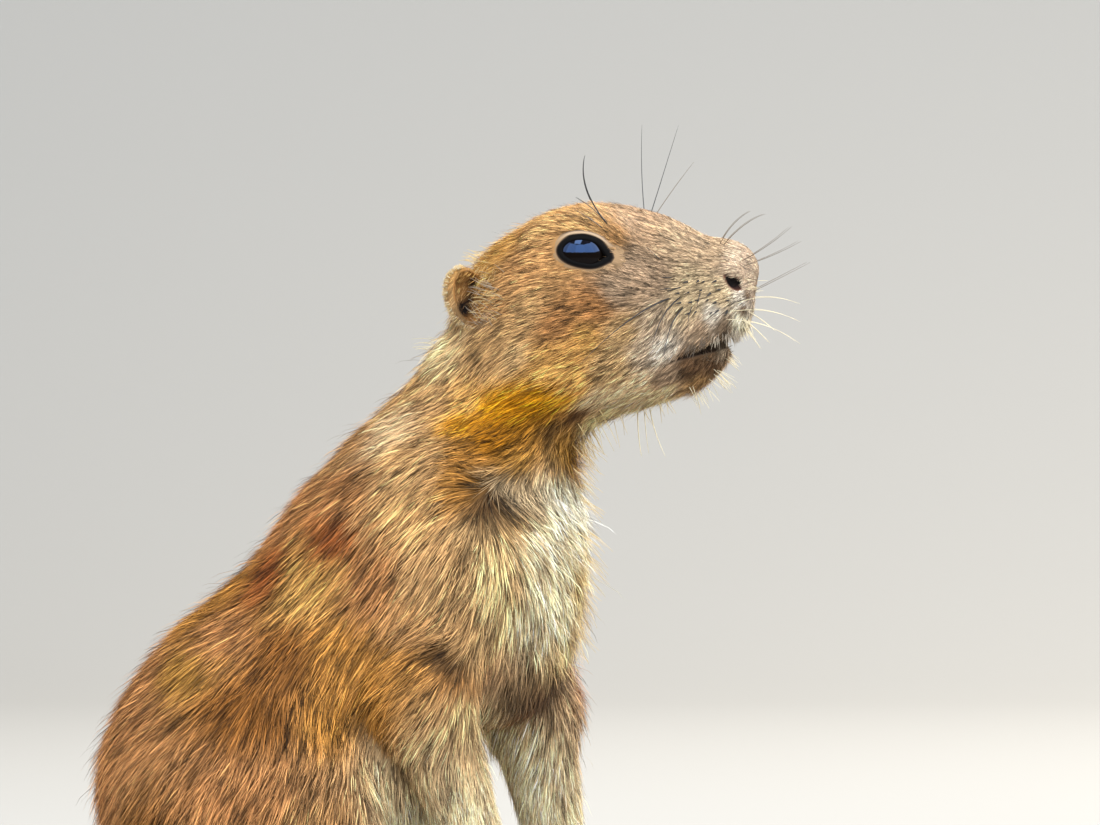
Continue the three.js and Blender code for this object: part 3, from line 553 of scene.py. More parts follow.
# Patches given by a place in space, to which those of the flanks are added. The umber one at 112 4 60 and the
# chestnut one at 111 3 50, in the hollow between the forelegs, are painted shade
MARKINGS = rows("""
62 5 96 8 russet 1.2; 45 6 80 9 copper 1.1; 76 4 106 7 tan 1.1; 28 8 62 9 russet 1.1; 88 3 122 7 sand 1.1;
10 8 30 12 russet 1.2; 84 0 22 18 ivory 1.4; 104 8 44 9 ivory 1.3; 124 0 92 6 vanilla 1.2;
112 4 60 8 umber 2; 111 3 50 6 chestnut 1.2; 126 3 113 5 honey 1.1; 152 0 124 3 ochre 1;
114 22 5 10 honey 1.2; 45 37 4 16 honey 1.2; -20 6 8 16 russet 1.4
""")
for x, z, *look in SIDE_MARKINGS:
    MARKINGS.append((x, half_width(x, z, BODY), z, *look))
TAIL_DARK = dict(from_x=-32.0, over=3.0, colour=(0.035, 0.026, 0.020))

# Whisker roots on the pad of the muzzle, row by row: the place of the foremost, and how many follow behind it
PAD_ROWS = [(149.0, 142.7, 4), (149.9, 140.4, 5), (151.6, 138.5, 6), (151.6, 136.4, 5)]
PAD_STEP = 1.95
PAD_DROP = 0.12
PAD_SPOTS = [(x - PAD_STEP * i, z - PAD_DROP * i) for x, z, number in PAD_ROWS for i in range(number)]


def coat_colour(p):
    """The coat's colour over the hide at points in millimetres, the same for hide and hair."""
    warp = np.stack([lattice_noise(p, 11, s) for s in (1, 2, 3)], 1)
    on_head = np.clip((p[:, 2] - 108) / 12, 0, 1)[:, None]
    q = folded(p + warp * (2.4 - 1.5 * on_head))
    total = np.zeros((len(p), 3))
    weight = np.zeros(len(p))
    for x, y, z, size, colour, strength in MARKINGS:
        d2 = ((q - (x, y, z)) ** 2).sum(1) / size**2
        w = strength / (0.12 + d2) ** 2.6
        total += w[:, None] * PALETTE[colour]
        weight += w
    colour = total / weight[:, None]
    mottle = 1 + 0.12 * lattice_noise(p, 7, 11) + 0.16 * lattice_noise(p, 2.6, 12)
    colour *= mottle[:, None]
    dark = 1 / (1 + np.exp((q[:, 0] - TAIL_DARK["from_x"]) / TAIL_DARK["over"]))[:, None]
    colour = colour * (1 - dark) + np.array(TAIL_DARK["colour"]) * dark
    return np.clip(colour, 0.004, 1)


# The lie of the coat: places on the left side, and the way the hair points there. The right mirrors it.
LIE = rows("""
158 0 146 -.4 .9 .3; 155 5 148 -.8 .3 .5; 150 4 151 -.95 .2 .3; 140 6 154 -.9 .1 .4; 128 5 158 -.97 .1 .15;
114 6 156 -.95 .1 -.25; 104 6 150 -.8 .1 -.5; 96 8 143 -.6 .1 -.8; 136 11 148 -.95 .2 .25;
128 14 155 -.85 .1 .45; 121 15 155 -.95 .1 .1; 112 16 150 -.97 .1 -.2; 130 14 142 -.99 .1 0;
120 17 140 -.98 .1 -.18; 106 18 140 -.95 .1 -.3; 103 19 132 -.85 0 -.5; 154 7 140 -.7 .5 -.3;
148 10 141 -.98 .2 -.1; 146 10 134 -.75 .2 -.65; 153 7 133 -.3 .3 -.9; 156 2 133 0 .5 -.86;
140 12 131 -.7 .1 -.7; 134 14 128 -.9 .1 -.4; 150 5 122 -.7 .1 -.6; 140 9 121 -.95 .1 -.3;
125 18 126 -.97 0 -.25; 124 16 117 -.96 0 -.3; 112 19 120 -.93 0 -.38; 135 4 115 -.95 .1 -.3;
97 18 122 -.72 0 -.7; 90 12 124 -.6 0 -.8; 84 6 122 -.6 0 -.8; 118 12 110 -.85 0 -.5; 108 19 110 -.9 0 -.45;
98 21 110 -.75 0 -.66; 90 22 104 -.55 0 -.83; 121 3 104 .1 .3 -.95; 78 18 110 -.62 0 -.78;
70 8 103 -.66 0 -.75; 58 10 92 -.78 0 -.62; 44 12 76 -.76 0 -.64; 30 12 62 -.78 0 -.62;
84 27 92 -.62 0 -.78; 96 28 86 -.4 0 -.92; 72 28 82 -.6 0 -.8; 60 30 70 -.5 0 -.86; 46 30 60 -.4 0 -.92;
62 32 54 -.15 0 -.99; 100 28 76 -.55 0 -.83; 92 30 68 -.7 0 -.7; 84 31 56 -.62 0 -.78; 78 30 48 -.5 0 -.86;
112 18 92 .5 0 -.86; 118 12 92 .4 0 -.9; 122 3 84 .35 .25 -.9; 112 20 80 .05 0 -1; 120 6 68 .15 .2 -.97;
108 18 62 -.05 0 -1; 102 10 48 -.3 0 -.95; 86 0 34 -.8 0 -.5; 70 0 14 -1 .1 0; 40 36 40 -.45 0 -.9;
56 38 34 -.35 0 -.93; 24 34 30 -.6 0 -.8; 14 18 40 -.62 0 -.78; 4 8 24 -.6 0 -.8; 90 26 36 .15 0 -.98;
96 23 20 .3 0 -.95; 106 22 9 .9 0 -.4; 116 22 5 .97 .1 -.2; 34 36 14 .2 0 -.95; 46 38 9 .95 0 -.2;
60 40 6 .97 .1 -.15
""")
TAIL_AXIS = unit(np.array(TAIL_LINE[-1], float) - np.array(TAIL_LINE[1], float))
WHORLS = [((101.5, 24, 98), 8.0), ((94.5, 27, 64.5), 6.0)]


def lie_of_coat(p, normal):
    """Unit directions along the hide in which the hair points."""
    q = folded(p)
    sign = np.where(p[:, 1] < 0, -1.0, 1.0)
    total = np.zeros_like(p)
    for x, y, z, *way in LIE:
        d2 = ((q - (x, y, z)) ** 2).sum(1)
        total += (1 / (d2 + 9.0) ** 2)[:, None] * unit(way)
    total = unit(total)
    for at, reach in WHORLS:
        away = q - at
        d = np.linalg.norm(away, axis=1)
        pull = np.exp(-((d / reach) ** 2)) * 1.6
        total = total + pull[:, None] * away / (d[:, None] + 0.5)
    total[:, 1] *= sign
    tail = np.clip((8 - p[:, 0]) / 14, 0, 1)[:, None]
    total = unit(total) * (1 - tail) + TAIL_AXIS * tail
    total += 0.10 * np.stack([lattice_noise(p, 9, s) for s in (21, 22, 23)], 1)
    total -= normal * (total * normal).sum(1)[:, None]
    return unit(total)


# Hide
HIDE_CELL = 1.6
corners = row_to_mm([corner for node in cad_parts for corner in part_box(node)])
low = corners.min(0) - 2 * HIDE_CELL
high = corners.max(0) + 2 * HIDE_CELL
points, quads = surface_net(lambda p: hide_field(p, carve=0.0), low, high, HIDE_CELL)
points = settle(points, lambda p: hide_field(p, carve=0.0), rounds=2)
hide = new_mesh("hide", points, quads)
bpy.context.view_layer.objects.active = hide
hide.select_set(True)
bpy.ops.object.mode_set(mode="EDIT")
bpy.ops.mesh.select_all(action="SELECT")
bpy.ops.uv.smart_project(angle_limit=math.radians(66), island_margin=0.002)
bpy.ops.object.mode_set(mode="OBJECT")
hide.data.uv_layers[0].name = "OFBake"


def refine(obj, wanted):
    """Splits the faces whose centres are wanted into four."""
    bm = bmesh.new()
    bm.from_mesh(obj.data)
    chosen = wanted(row_to_mm([f.calc_center_median() for f in bm.faces]))
    edges = {e for f, yes in zip(bm.faces, chosen) if yes for e in f.edges}
    bmesh.ops.subdivide_edges(bm, edges=list(edges), cuts=1, use_grid_fill=True)
    bm.to_mesh(obj.data)
    bm.free()


FEATURE_MARGIN = 1.5  # the hide is finest this near to eyes, ears and mouth


def near_features(c):
    near = np.zeros(len(c), bool)
    for side in SIDES:
        u, out, w = local(c, EYES[side])
        near |= (eye_rim(u, w) < FEATURE_MARGIN) & (out > 0)
        u, out, w = local(c, EARS[side])
        near |= np.sqrt(u * u + out * out + w * w) < EAR["half"][2] + FEATURE_MARGIN
    along, across, half = mouth_place(c)
    near |= (np.abs(across) < half + FEATURE_MARGIN) & (along > -2)
    near |= (c[:, 0] > 149.5) & (c[:, 2] > 134)
    return near & (c[:, 2] > 108)


def finer_parts(c):
    head = (c[:, 0] + 0.6 * c[:, 2] > 168) & (c[:, 2] > 108)
    feet = (c[:, 2] < 10) & (c[:, 0] > 14) & (np.abs(c[:, 1]) > 12)
    return head | feet


refine(hide, finer_parts)
refine(hide, near_features)
points = row_to_mm(read(hide.data.vertices, "co", 3))
upper = points[:, 2] > 100
for carve in (0.0, 0.35, 0.7, 1.0):
    points[upper] = settle(points[upper], lambda p: hide_field(p, carve=carve), rounds=3, most=0.7)
points[~upper] = settle(points[~upper], field, rounds=3)
points[:, 2] = np.maximum(points[:, 2], 0.02)
hide.data.vertices.foreach_set("co", to_row(points).astype(np.float32).ravel())
hide.data.update()
hide.data.polygons.foreach_set("use_smooth", np.full(len(hide.data.polygons), True))

SKIN = np.array((0.050, 0.030, 0.022))
# Painted shade: a near black laid in the nostrils, the pits of the ears and inside the mouth
SHADE_IN_HOLLOWS = np.array((0.006, 0.004, 0.0035))
NOSTRIL_RIM = np.array((0.13, 0.045, 0.028))
EAR_SKIN = np.array((0.26, 0.112, 0.030))
# Where the hollow of the ear shows, by x and z, and how far round that: spots of painted shade, placed as
# seen from the side
EAR_PITS = [((96.7, 136.7), 1.9), ((98.3, 142.0), 1.2), ((98.0, 139.2), 1.2)]
# The hide is painted darker than the coat: painted shade, as it shows only in the gaps between the hairs
HIDE_PAINTED_SHADE = 0.62  # the hide's brightness against the coat's
HEAD_LEVEL = 105  # the face lies above this


def ear_inside(p, side):
    """Below 0 in the hollow of an ear."""
    u, out, w = local(p, EARS[side])
    a, b, c = EAR["half"]
    return egg_field(u - 0.5, out - EAR["wall"] - 0.9, w, (a - 1.3, b, c - 1.3))


def painted_ear_pit_shade(p):
    """1 in the pits of the ears that carry painted shade, placed as seen from the side, falling to 0 around
    them.
    """
    share = np.zeros(len(p))
    for (x, z), size in EAR_PITS:
        share = np.maximum(share, np.clip(1.7 - np.hypot(p[:, 0] - x, p[:, 2] - z) / size * 1.2, 0, 1))
    return share


def toned(colour, share, tint):
    share = np.clip(share, 0, 1)[:, None]
    return colour * (1 - share) + tint * share


def hide_colour(p):
    """The coat's colour darkened as painted shade, with bare skin on the rims of the eyes, the nostrils, the
    lips and in the ears, and painted shade in the nostrils, the pits of the ears and the mouth.
    """
    colour = coat_colour(p) * HIDE_PAINTED_SHADE
    head = p[:, 2] > HEAD_LEVEL
    q = p[head]
    c = colour[head]
    base = field(q, FACE, coated=True)
    for side in SIDES:
        u, out, w = local(q, EYES[side])
        c = toned(c, (1.4 - eye_rim(u, w)) * (out > 0), SKIN * 0.5)
        pit = nostril_field(q, side)
        c = toned(c, 1.3 - pit / 0.35, NOSTRIL_RIM)
        # inside the nostril: painted shade
        c = toned(c, (0.12 - pit) / 0.15, SHADE_IN_HOLLOWS)
        u, out, w = local(q, EARS[side])
        depth = np.clip((0.75 - ear_inside(q, side)) / 0.45, 0, 1)
        c = toned(c, 0.9 * depth, EAR_SKIN)
        # painted shade in the pits of the ear
        c = toned(c, depth * painted_ear_pit_shade(q), SHADE_IN_HOLLOWS)
    along, across, half = mouth_place(q)
    # Along the mouth: the lips' own dark skin, which in the gap between them is painted shade; deeper in,
    # painted shade inside the mouth
    lips = np.clip(1 - (np.abs(across) - half) / 0.6, 0, 1) * (along > -0.6)
    c = toned(c, lips, SKIN * 0.25)
    c = toned(c, lips * (-base - 0.6) / 0.6, SHADE_IN_HOLLOWS * 0.4)
    colour[head] = c
    return colour


def store_colour(mesh, colours):
    layer = mesh.attributes.new("coat", "FLOAT_COLOR", "POINT")
    rgba = np.ones((len(colours), 4), np.float32)
    rgba[:, :3] = colours
    layer.data.foreach_set("color", rgba.ravel())


store_colour(hide.data, hide_colour(points))


# Materials
def new_material(name, roughness, specular=0.5, stored=True):
    """A material, its shader and its node tree. Where stored, its colour is the one kept with the mesh."""
    material = bpy.data.materials.new(name)
    material.use_nodes = True
    tree = material.node_tree
    tree.nodes.clear()
    shader = tree.nodes.new("ShaderNodeBsdfPrincipled")
    out = tree.nodes.new("ShaderNodeOutputMaterial")
    tree.links.new(shader.outputs["BSDF"], out.inputs["Surface"])
    shader.inputs["Roughness"].default_value = roughness
    shader.inputs["Specular IOR Level"].default_value = specular
    if stored:
        colour = tree.nodes.new("ShaderNodeAttribute")
        colour.attribute_name = "coat"
        tree.links.new(colour.outputs["Color"], shader.inputs["Base Color"])
    return material, shader, tree


def grain(tree, scale, detail=2.0):
    place = tree.nodes.new("ShaderNodeTexCoord")
    noise = tree.nodes.new("ShaderNodeTexNoise")
    noise.inputs["Scale"].default_value = scale
    noise.inputs["Detail"].default_value = detail
    tree.links.new(place.outputs["Object"], noise.inputs["Vector"])
    return noise.outputs["Fac"]


def creased(name, roughness, specular, scale, strength, depth):
    """Skin with fine creases."""
    material, shader, tree = new_material(name, roughness, specular)
    bump = tree.nodes.new("ShaderNodeBump")
    bump.inputs["Strength"].default_value = strength
    bump.inputs["Distance"].default_value = depth
    tree.links.new(grain(tree, scale, 3), bump.inputs["Height"])
    tree.links.new(bump.outputs["Normal"], shader.inputs["Normal"])
    return material


def flecked(name, roughness, scale, dark, light, specular=0.5, tint=(1, 1, 1)):
    """A hard surface whose colour wavers between two."""
    material, shader, tree = new_material(name, roughness, specular, stored=False)
    ramp = tree.nodes.new("ShaderNodeValToRGB")
    for element, colour in zip(ramp.color_ramp.elements, (dark, light)):
        element.color = (*colour, 1)
    tree.links.new(grain(tree, scale), ramp.inputs["Fac"])
    tree.links.new(ramp.outputs["Color"], shader.inputs["Base Color"])
    shader.inputs["Specular Tint"].default_value = (*tint, 1)
    return material


EYE_BLACK = ((0.0025, 0.0018, 0.0014), (0.006, 0.0035, 0.0025))
hide_material = creased("hide_skin", 0.8, 0.12, 1600, 0.5, 0.0002)
lid_material = creased("lid_skin", 0.7, 0.06, 2200, 0.4, 0.0001)
hair_material = new_material("coat_hair", 0.55, 0.10)[0]
whisker_material = new_material("whisker", 0.4)[0]
# The blue tints of the eyes' reflections are a painted reflection of a blue sky
eye_material = flecked("eye_gloss", 0.03, 900, *EYE_BLACK, 0.62, (0.20, 0.42, 1.0))
# Painted shade: the eye's lower half, where the lids shade it, gets this weaker reflection
eye_shade_material = flecked("eye_shade", 0.03, 900, *EYE_BLACK, 0.07, (0.8, 0.85, 1.0))  # its lower half
claw_material = flecked("claw_horn", 0.35, 700, (0.020, 0.014, 0.011), (0.075, 0.052, 0.038))
hide.data.materials.append(hide_material)


# Coat
# Places of it: where, size of the patch, length of the hair, and how steeply it rises from the hide
HAIR = rows("""
156 3 145 4 .75 .22; 148 8 141 6 1.1 .24; 151 6 132.5 4 2 .42; 149 4 125 4 2.4 .48; 142 8 124 4 2.2 .36;
140 6 153 8 1.6 .28; 133 12 147 7 1.7 .26; 121 8 157 8 2.5 .44; 105 10 150 8 3.6 .58; 99 14 148 4 4.2 .55;
89 12 131 6 6 .62; 122 16 140 8 2.3 .28; 135 12 130 6 2.3 .3; 139 4 116 6 3.2 .5; 125 14 119 7 3.4 .36;
110 19 132 9 3 .32; 96 18 140 5 1.5 .34; 110 19 117 6 6 .46; 98 16 118 9 4.4 .34; 84 10 118 12 5.4 .36;
116 12 106 7 4.8 .44; 120 4 110 4.5 6.5 .85; 75 26 88 20 7 .28; 50 28 60 24 7.6 .28; 60 5 97 12 6.2 .4;
40 5 78 12 6.6 .4; 122 6 90 9 6.2 .62; 121 8 70 11 6.8 .55; 90 30 60 12 5.6 .32; 100 24 32 8 3.2 .28;
104 22 16 6 2.2 .26; 114 21 5 9 1.3 .24; 128 20 3 6 .8 .2; 45 36 34 18 6.4 .32; 31 34 10 7 2.6 .28;
50 38 5 9 1.5 .24; 68 40 3 7 .9 .2; 10 10 30 18 7 .38; 80 0 24 16 6.2 .34; -8 2 9 14 8 .42;
-32 10 7 12 9.5 .42; -46 16 4 6 8 .36
""")
HAIR_LENGTH, HAIR_RISE = 4, 5  # columns of the table
HAIRS = 462000
LONG_HAIRS = 30000
GUARD_SHARE = 0.08
BROW_BARE = 2.1  # how far above the eye the hair begins
RIM_BARE = 1.25
EAR_HAIR = 1.7  # length on the ear itself
EAR_RISE = 0.36
RESTING = 1.2  # below this the soles rest, with few hairs
RESTING_SHARE = 0.15


def region_values(p, column):
    """A number that blends between the places of the table."""
    q = folded(p)
    total = np.zeros(len(p))
    weight = np.zeros(len(p))
    for row in HAIR:
        w = 1 / (0.2 + ((q - row[:3]) ** 2).sum(1) / row[3] ** 2) ** 2
        total += w * row[column]
        weight += w
    return total / weight


def hair_density(p):
    """Hairs for each square millimetre, before the whole is scaled to the number wanted."""
    dense = 26.0 / (0.9 + region_values(p, HAIR_LENGTH)) ** 1.3
    dense = np.where(p[:, 2] < RESTING, dense * RESTING_SHARE, dense)
    head = p[:, 2] > HEAD_LEVEL
    q = p[head]
    keep = np.ones(len(q))
    for side in SIDES:
        u, out, w = local(q, EYES[side])
        bare = RIM_BARE + (BROW_BARE - RIM_BARE) * np.clip(w / 2, 0, 1)
        keep *= np.where(out > 0, np.clip((eye_rim(u, w) - bare) / 0.5, 0, 1), 1)
        keep *= np.clip((nostril_field(q, side) - 0.1) / 0.2, 0, 1)
        # fewer hairs over the painted shade in the pits of the ears
        keep *= np.where(ear_inside(q, side) < 0.75, 1 - 0.85 * painted_ear_pit_shade(q), 1)
    along, across, half = mouth_place(q)
    keep *= np.where(along > -0.6, np.clip((np.abs(across) - half) / 0.15, 0, 1), 1)
    dense[head] *= keep
    return dense


mesh = hide.data
mesh.calc_loop_triangles()
loops = read(mesh.loop_triangles, "loops", 3, np.int32)
uv = read(mesh.uv_layers["OFBake"].data, "uv", 2)
tri = points[read(mesh.loop_triangles, "vertices", 3, np.int32)]
area = np.linalg.norm(np.cross(tri[:, 1] - tri[:, 0], tri[:, 2] - tri[:, 0]), axis=1) / 2
share = area * hair_density(tri.mean(1))
picked = np.searchsorted(np.cumsum(share) / share.sum(), rng.random(HAIRS))
picked = np.minimum(picked, len(tri) - 1)
a, b = rng.random(HAIRS), rng.random(HAIRS)
over = a + b > 1
a[over], b[over] = 1 - a[over], 1 - b[over]
bary = np.stack([1 - a - b, a, b], 1)
roots = (tri[picked] * bary[..., None]).sum(1)
root_uv = (uv[loops[picked]] * bary[..., None]).sum(1)
normal = unit(gradient(roots, field, 0.3))
for side in SIDES:
    u, out, w = local(roots, EARS[side])
    close = (np.sqrt(u * u + out * out + w * w) < 8.5) | ((roots[:, 0] > 149) & (roots[:, 2] > 136))
    normal[close] = unit(gradient(roots[close], hide_field, 0.15))
way = lie_of_coat(roots, normal)
head_hair = roots[:, 2] + 0.5 * roots[:, 0] > 165
# Streaks of dark and pale: the hairs, how wide their streaks are, and half how long
STREAKS = [(head_hair, 0.16, 1.3), (~head_hair, 0.24, 2.6)]
streak = np.zeros(HAIRS)
for some, across_size, along_reach in STREAKS:
    streak[some] = streak_noise(roots[some], way[some], across_size, along_reach, 41)
streak = np.clip(streak, -2.2, 1.2)
base_length = region_values(roots, HAIR_LENGTH)
rise = region_values(roots, HAIR_RISE)
for side in SIDES:
    u, out, w = local(roots, EARS[side])
    on_ear = egg_field(u, out, w, EAR["half"]) < 0.35
    base_length[on_ear] = EAR_HAIR
    rise[on_ear] = EAR_RISE
length = base_length * np.clip(rng.normal(1, 0.17, HAIRS), 0.55, 1.5)
guard = rng.random(HAIRS) < GUARD_SHARE
length = np.where(guard, length * 1.25, length)
rise = rise * np.clip(rng.normal(1, 0.25, HAIRS), 0.3, 1.9)
rise = np.where(guard, rise * 1.35, rise)
width = (0.054 + 0.012 * length) * np.where(guard, 0.85, 1.0)

# Locks: hairs of one small cell lean to a common tip
LOCK_LEAST = 0.55
LOCK_MOST = 1.1
warped = roots + 0.8 * np.stack([lattice_noise(roots, 3.5, s) for s in (31, 32, 33)], 1)
cell = np.clip(base_length * 0.18, LOCK_LEAST, LOCK_MOST)
band = np.round(np.log2(cell / LOCK_LEAST) * 2) / 2
size = LOCK_LEAST * 2**band
key = np.floor(warped / size[:, None]).astype(np.int64)
key = key[:, 0] * 1000003 + key[:, 1] * 10007 + key[:, 2] * 101 + (band * 2).astype(np.int64) * 7919
_, lock, lock_count = np.unique(key, return_inverse=True, return_counts=True)
centre = np.stack([np.bincount(lock, roots[:, k]) for k in range(3)], 1) / lock_count[:, None]
toward = centre[lock] - roots
toward -= normal * (toward * normal).sum(1)[:, None]
lock_lean = rng.normal(0, 1, (len(lock_count), 2))
side_way = np.cross(normal, way)
bend = 0.08 * lock_lean[lock, 0] + rng.normal(0, 0.10, HAIRS)
way = unit(way + side_way * bend[:, None])
side_way = np.cross(normal, way)
rise = rise * np.clip(1 + 0.2 * lock_lean[lock, 1], 0.5, 1.8)
LOCK_PULL = 0.3
sunk = np.minimum(0.15, 0.06 * length)


def strand_points(t):
    """Points at a part of the way along every hair."""
    up = rise * (t - 0.42 * t * t) / 0.58
    ahead = length * t * np.sqrt(np.maximum(1 - rise**2, 0.3))
    lift = length * up * 0.62 - sunk
    return roots + way * ahead[:, None] + normal * lift[:, None] + toward * (LOCK_PULL * t**1.5)


# Shades along the hair: dark at the root, partly the hair's own darker base and partly painted shade deep in
# the coat, and the tip of some hairs is dark, of others pale
STREAK_PALE, STREAK_DARK = 0.38, 0.95  # how far streaks go either way
BRIGHTEN = 1.16
DARK_TIPS, DARK_GUARDS, PALE_TIPS = 0.13, 0.6, 0.86
colour = coat_colour(roots)
tone = np.clip(rng.normal(0, 1, HAIRS), -2, 2)
lock_tone = rng.normal(0, 1, len(lock_count))[lock]
streak *= np.where(streak > 0, STREAK_PALE, STREAK_DARK)
shade = np.exp(streak + 0.20 * tone + 0.12 * lock_tone) * BRIGHTEN
kind = rng.random(HAIRS)
dark_tip = ((kind < DARK_TIPS) | (guard & (kind < DARK_GUARDS)))[:, None]
pale_tip = (kind > PALE_TIPS)[:, None]
root_colour = colour * ((0.32 + 0.45 * np.clip(1.7 - length, 0, 1)) * shade)[:, None]
mid_colour = colour * np.where(dark_tip, 0.34, 0.95) * shade[:, None]
tip_colour = colour * (1.08 * shade)[:, None]
tip_colour = np.where(dark_tip, colour * 0.12, tip_colour)
tip_colour = np.where(pale_tip, colour * 1.3, tip_colour)

roll = rng.normal(0, 0.35, HAIRS)
across = side_way * np.cos(roll)[:, None] + normal * np.sin(roll)[:, None]


UV_PATCH = 0.003  # how much of the layout one hair takes


def coat_piece(name, chosen, stations, widths, station_colours):
    """One mesh of flat, tapering hairs, each a chain of quads that ends in a point."""
    per_hair = 2 * len(stations) - 1
    middle = np.stack([strand_cache[t][chosen] for t in stations], 1)
    half = width[chosen, None] * np.append(np.outer(widths, (-0.5, 0.5)), 0)
    verts = np.repeat(middle, 2, 1)[:, :per_hair] + across[chosen, None] * half[..., None]
    cols = np.repeat(np.stack([c[chosen] for c in station_colours], 1), 2, 1)[:, :per_hair]
    one = [f for q in range(0, per_hair - 3, 2) for f in ((q, q + 1, q + 3), (q, q + 3, q + 2))]
    one.append((per_hair - 3, per_hair - 2, per_hair - 1))
    faces = (np.arange(len(chosen)) * per_hair)[:, None, None] + np.array(one)[None]
    verts = verts.reshape(-1, 3)
    verts[:, 2] = np.maximum(verts[:, 2], 0.03)
    obj = new_mesh(name, verts, faces.reshape(-1, 3), smooth=False)
    store_colour(obj.data, np.clip(cols.reshape(-1, 3), 0.002, 0.95))
    layer = obj.data.uv_layers.new(name="OFBake")
    along_patch = np.repeat(stations, 2)[:per_hair]
    across_patch = np.array([0.0, 1.0] * (len(stations) - 1) + [0.5])
    uv_vert = root_uv[chosen][:, None, :] + UV_PATCH * (np.stack([across_patch, along_patch], 1) - 0.5)[None]
    uv_vert = np.clip(uv_vert, 0.0005, 0.9995).reshape(-1, 2)
    layer.data.foreach_set("uv", uv_vert[faces.reshape(-1)].astype(np.float32).ravel())
    obj.data.materials.append(hair_material)
    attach(obj, "root")


LONG_STATIONS = (0.0, 0.34, 0.7, 1.0)
SHORT_STATIONS = (0.0, 0.5, 1.0)
strand_cache = {t: strand_points(t) for t in set(LONG_STATIONS + SHORT_STATIONS)}
order = np.argsort(roots[:, 0] + 0.5 * roots[:, 2])
long_hair = length >= np.sort(length)[-LONG_HAIRS]
long_shades = (root_colour, mid_colour, mid_colour, tip_colour)
short_shades = (root_colour * 1.25, mid_colour, tip_colour)
for prefix, ids, stations, widths, shades, per in (
    ("coat_long_", order[long_hair[order]], LONG_STATIONS, (0.75, 1.0, 0.7), long_shades, 38000),
    ("coat_short_", order[~long_hair[order]], SHORT_STATIONS, (0.9, 0.85), short_shades, 64000),
):
    for i in range(math.ceil(len(ids) / per)):
        coat_piece(f"{prefix}{i + 1}", ids[i * per : (i + 1) * per], stations, widths, shades)


# Eyes
# Painted shade: below this height the eye's reflection is turned down, as under the lids
EYE_SHADE = 0.75  # the height against the eye's middle under which it lies in shade
for side in SIDES:
    centre, forward, out, up = EYES[side]
    bm = bmesh.new()
    bmesh.ops.create_uvsphere(bm, u_segments=96, v_segments=64, radius=EYE["radius"])
    mesh = bpy.data.meshes.new("eyeball_" + side)
    bm.to_mesh(mesh)
    bm.free()
    q = read(mesh.vertices, "co", 3).astype(float)
    p = centre + q[:, :1] * forward + q[:, 1:2] * up + q[:, 2:] * out
    mesh.vertices.foreach_set("co", to_row(p).astype(np.float32).ravel())
    mesh.polygons.foreach_set("use_smooth", np.full(len(mesh.polygons), True))
    if np.linalg.det(np.stack([forward, up, out])) < 0:
        mesh.flip_normals()
    mesh.update()
    mesh.materials.append(eye_material)
    mesh.materials.append(eye_shade_material)
    for face in mesh.polygons:
        face.material_index = int(face.center.z < (centre[2] + EYE_SHADE) * MM)
    eye = placed("eyeball_" + side, mesh)
    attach(eye, "root")
    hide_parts("eye_" + side)


def tube(paths, radii, sides):
    """Points and faces of tapering tubes along lines of points, each closed at both ends."""
    verts, faces = [], []
    for path, radius in zip(paths, radii):
        path = np.asarray(path, float)
        tangent = unit(np.gradient(path, axis=0))
        side = unit(np.cross(tangent[0], (0.3, 0.5, 0.8)))
        base = len(verts)
        for p, ahead, r in zip(path, tangent, radius):
            side = unit(side - ahead * (side @ ahead))
            other = np.cross(ahead, side)
            for j in range(sides):
                a = 2 * math.pi * j / sides
                verts.append(p + r * (math.cos(a) * side + math.sin(a) * other))
        last = base + (len(path) - 1) * sides
        for q in range(base, last, sides):
            for j in range(sides):
                k = (j + 1) % sides
                faces.append((q + j, q + k, q + sides + k))
                faces.append((q + j, q + sides + k, q + sides + j))
        for j in range(1, sides - 1):
            faces.append((base, base + j + 1, base + j))
            faces.append((last, last + j, last + j + 1))
    return np.array(verts), np.array(faces)


# Lids: a band round each eye that lies on the hide, with a dark rim and, above, a pale fold over a crease
# Rows: distance from the opening, height over the hide above and below the eye, colours above and below
LID_ROWS = rows("""
-.05 -.55 -.55 rim rim; 0 0 0 rim rim; .12 .13 .11 rim rim; .35 .25 .2 rim rim; .6 .29 .22 rim rim;
.82 .23 .18 rim edge; 1 .17 .12 rim skin; 1.15 .22 .08 edge tan; 1.35 .36 .04 fold tan; 1.62 .32 0 fold tan;
2.25 .04 -.1 skin tan; 2.7 -.15 -.3 tan tan; 3.3 -.6 -.6 tan tan
""")
CORNER_WIDER = 0.6  # how much wider the lids are at the front corner of the eye
LID_COLOURS = named_colours("""
rim .0022 .0018 .0018; edge .012 .008 .006; skin .06 .04 .028; fold .36 .25 .16; tan .27 .17 .09
""")


def on_face(side, u, w):
    """Points of the hide in front of an eye's frame, and the hide's directions there."""
    centre, forward, out, up = EYES[side]
    p = centre + u[:, None] * forward + w[:, None] * up + out * (EYE["radius"] + 3)

    def mound(q):
        a, b, c = local(q, EYES[side])
        return smooth_min(field(q, FACE), np.sqrt(a * a + b * b + c * c) - (EYE["radius"] + 0.1), 1.6)

    for _ in range(14):
        p = p - out * mound(p)[:, None]
    return p, unit(gradient(p, mound, 0.2))


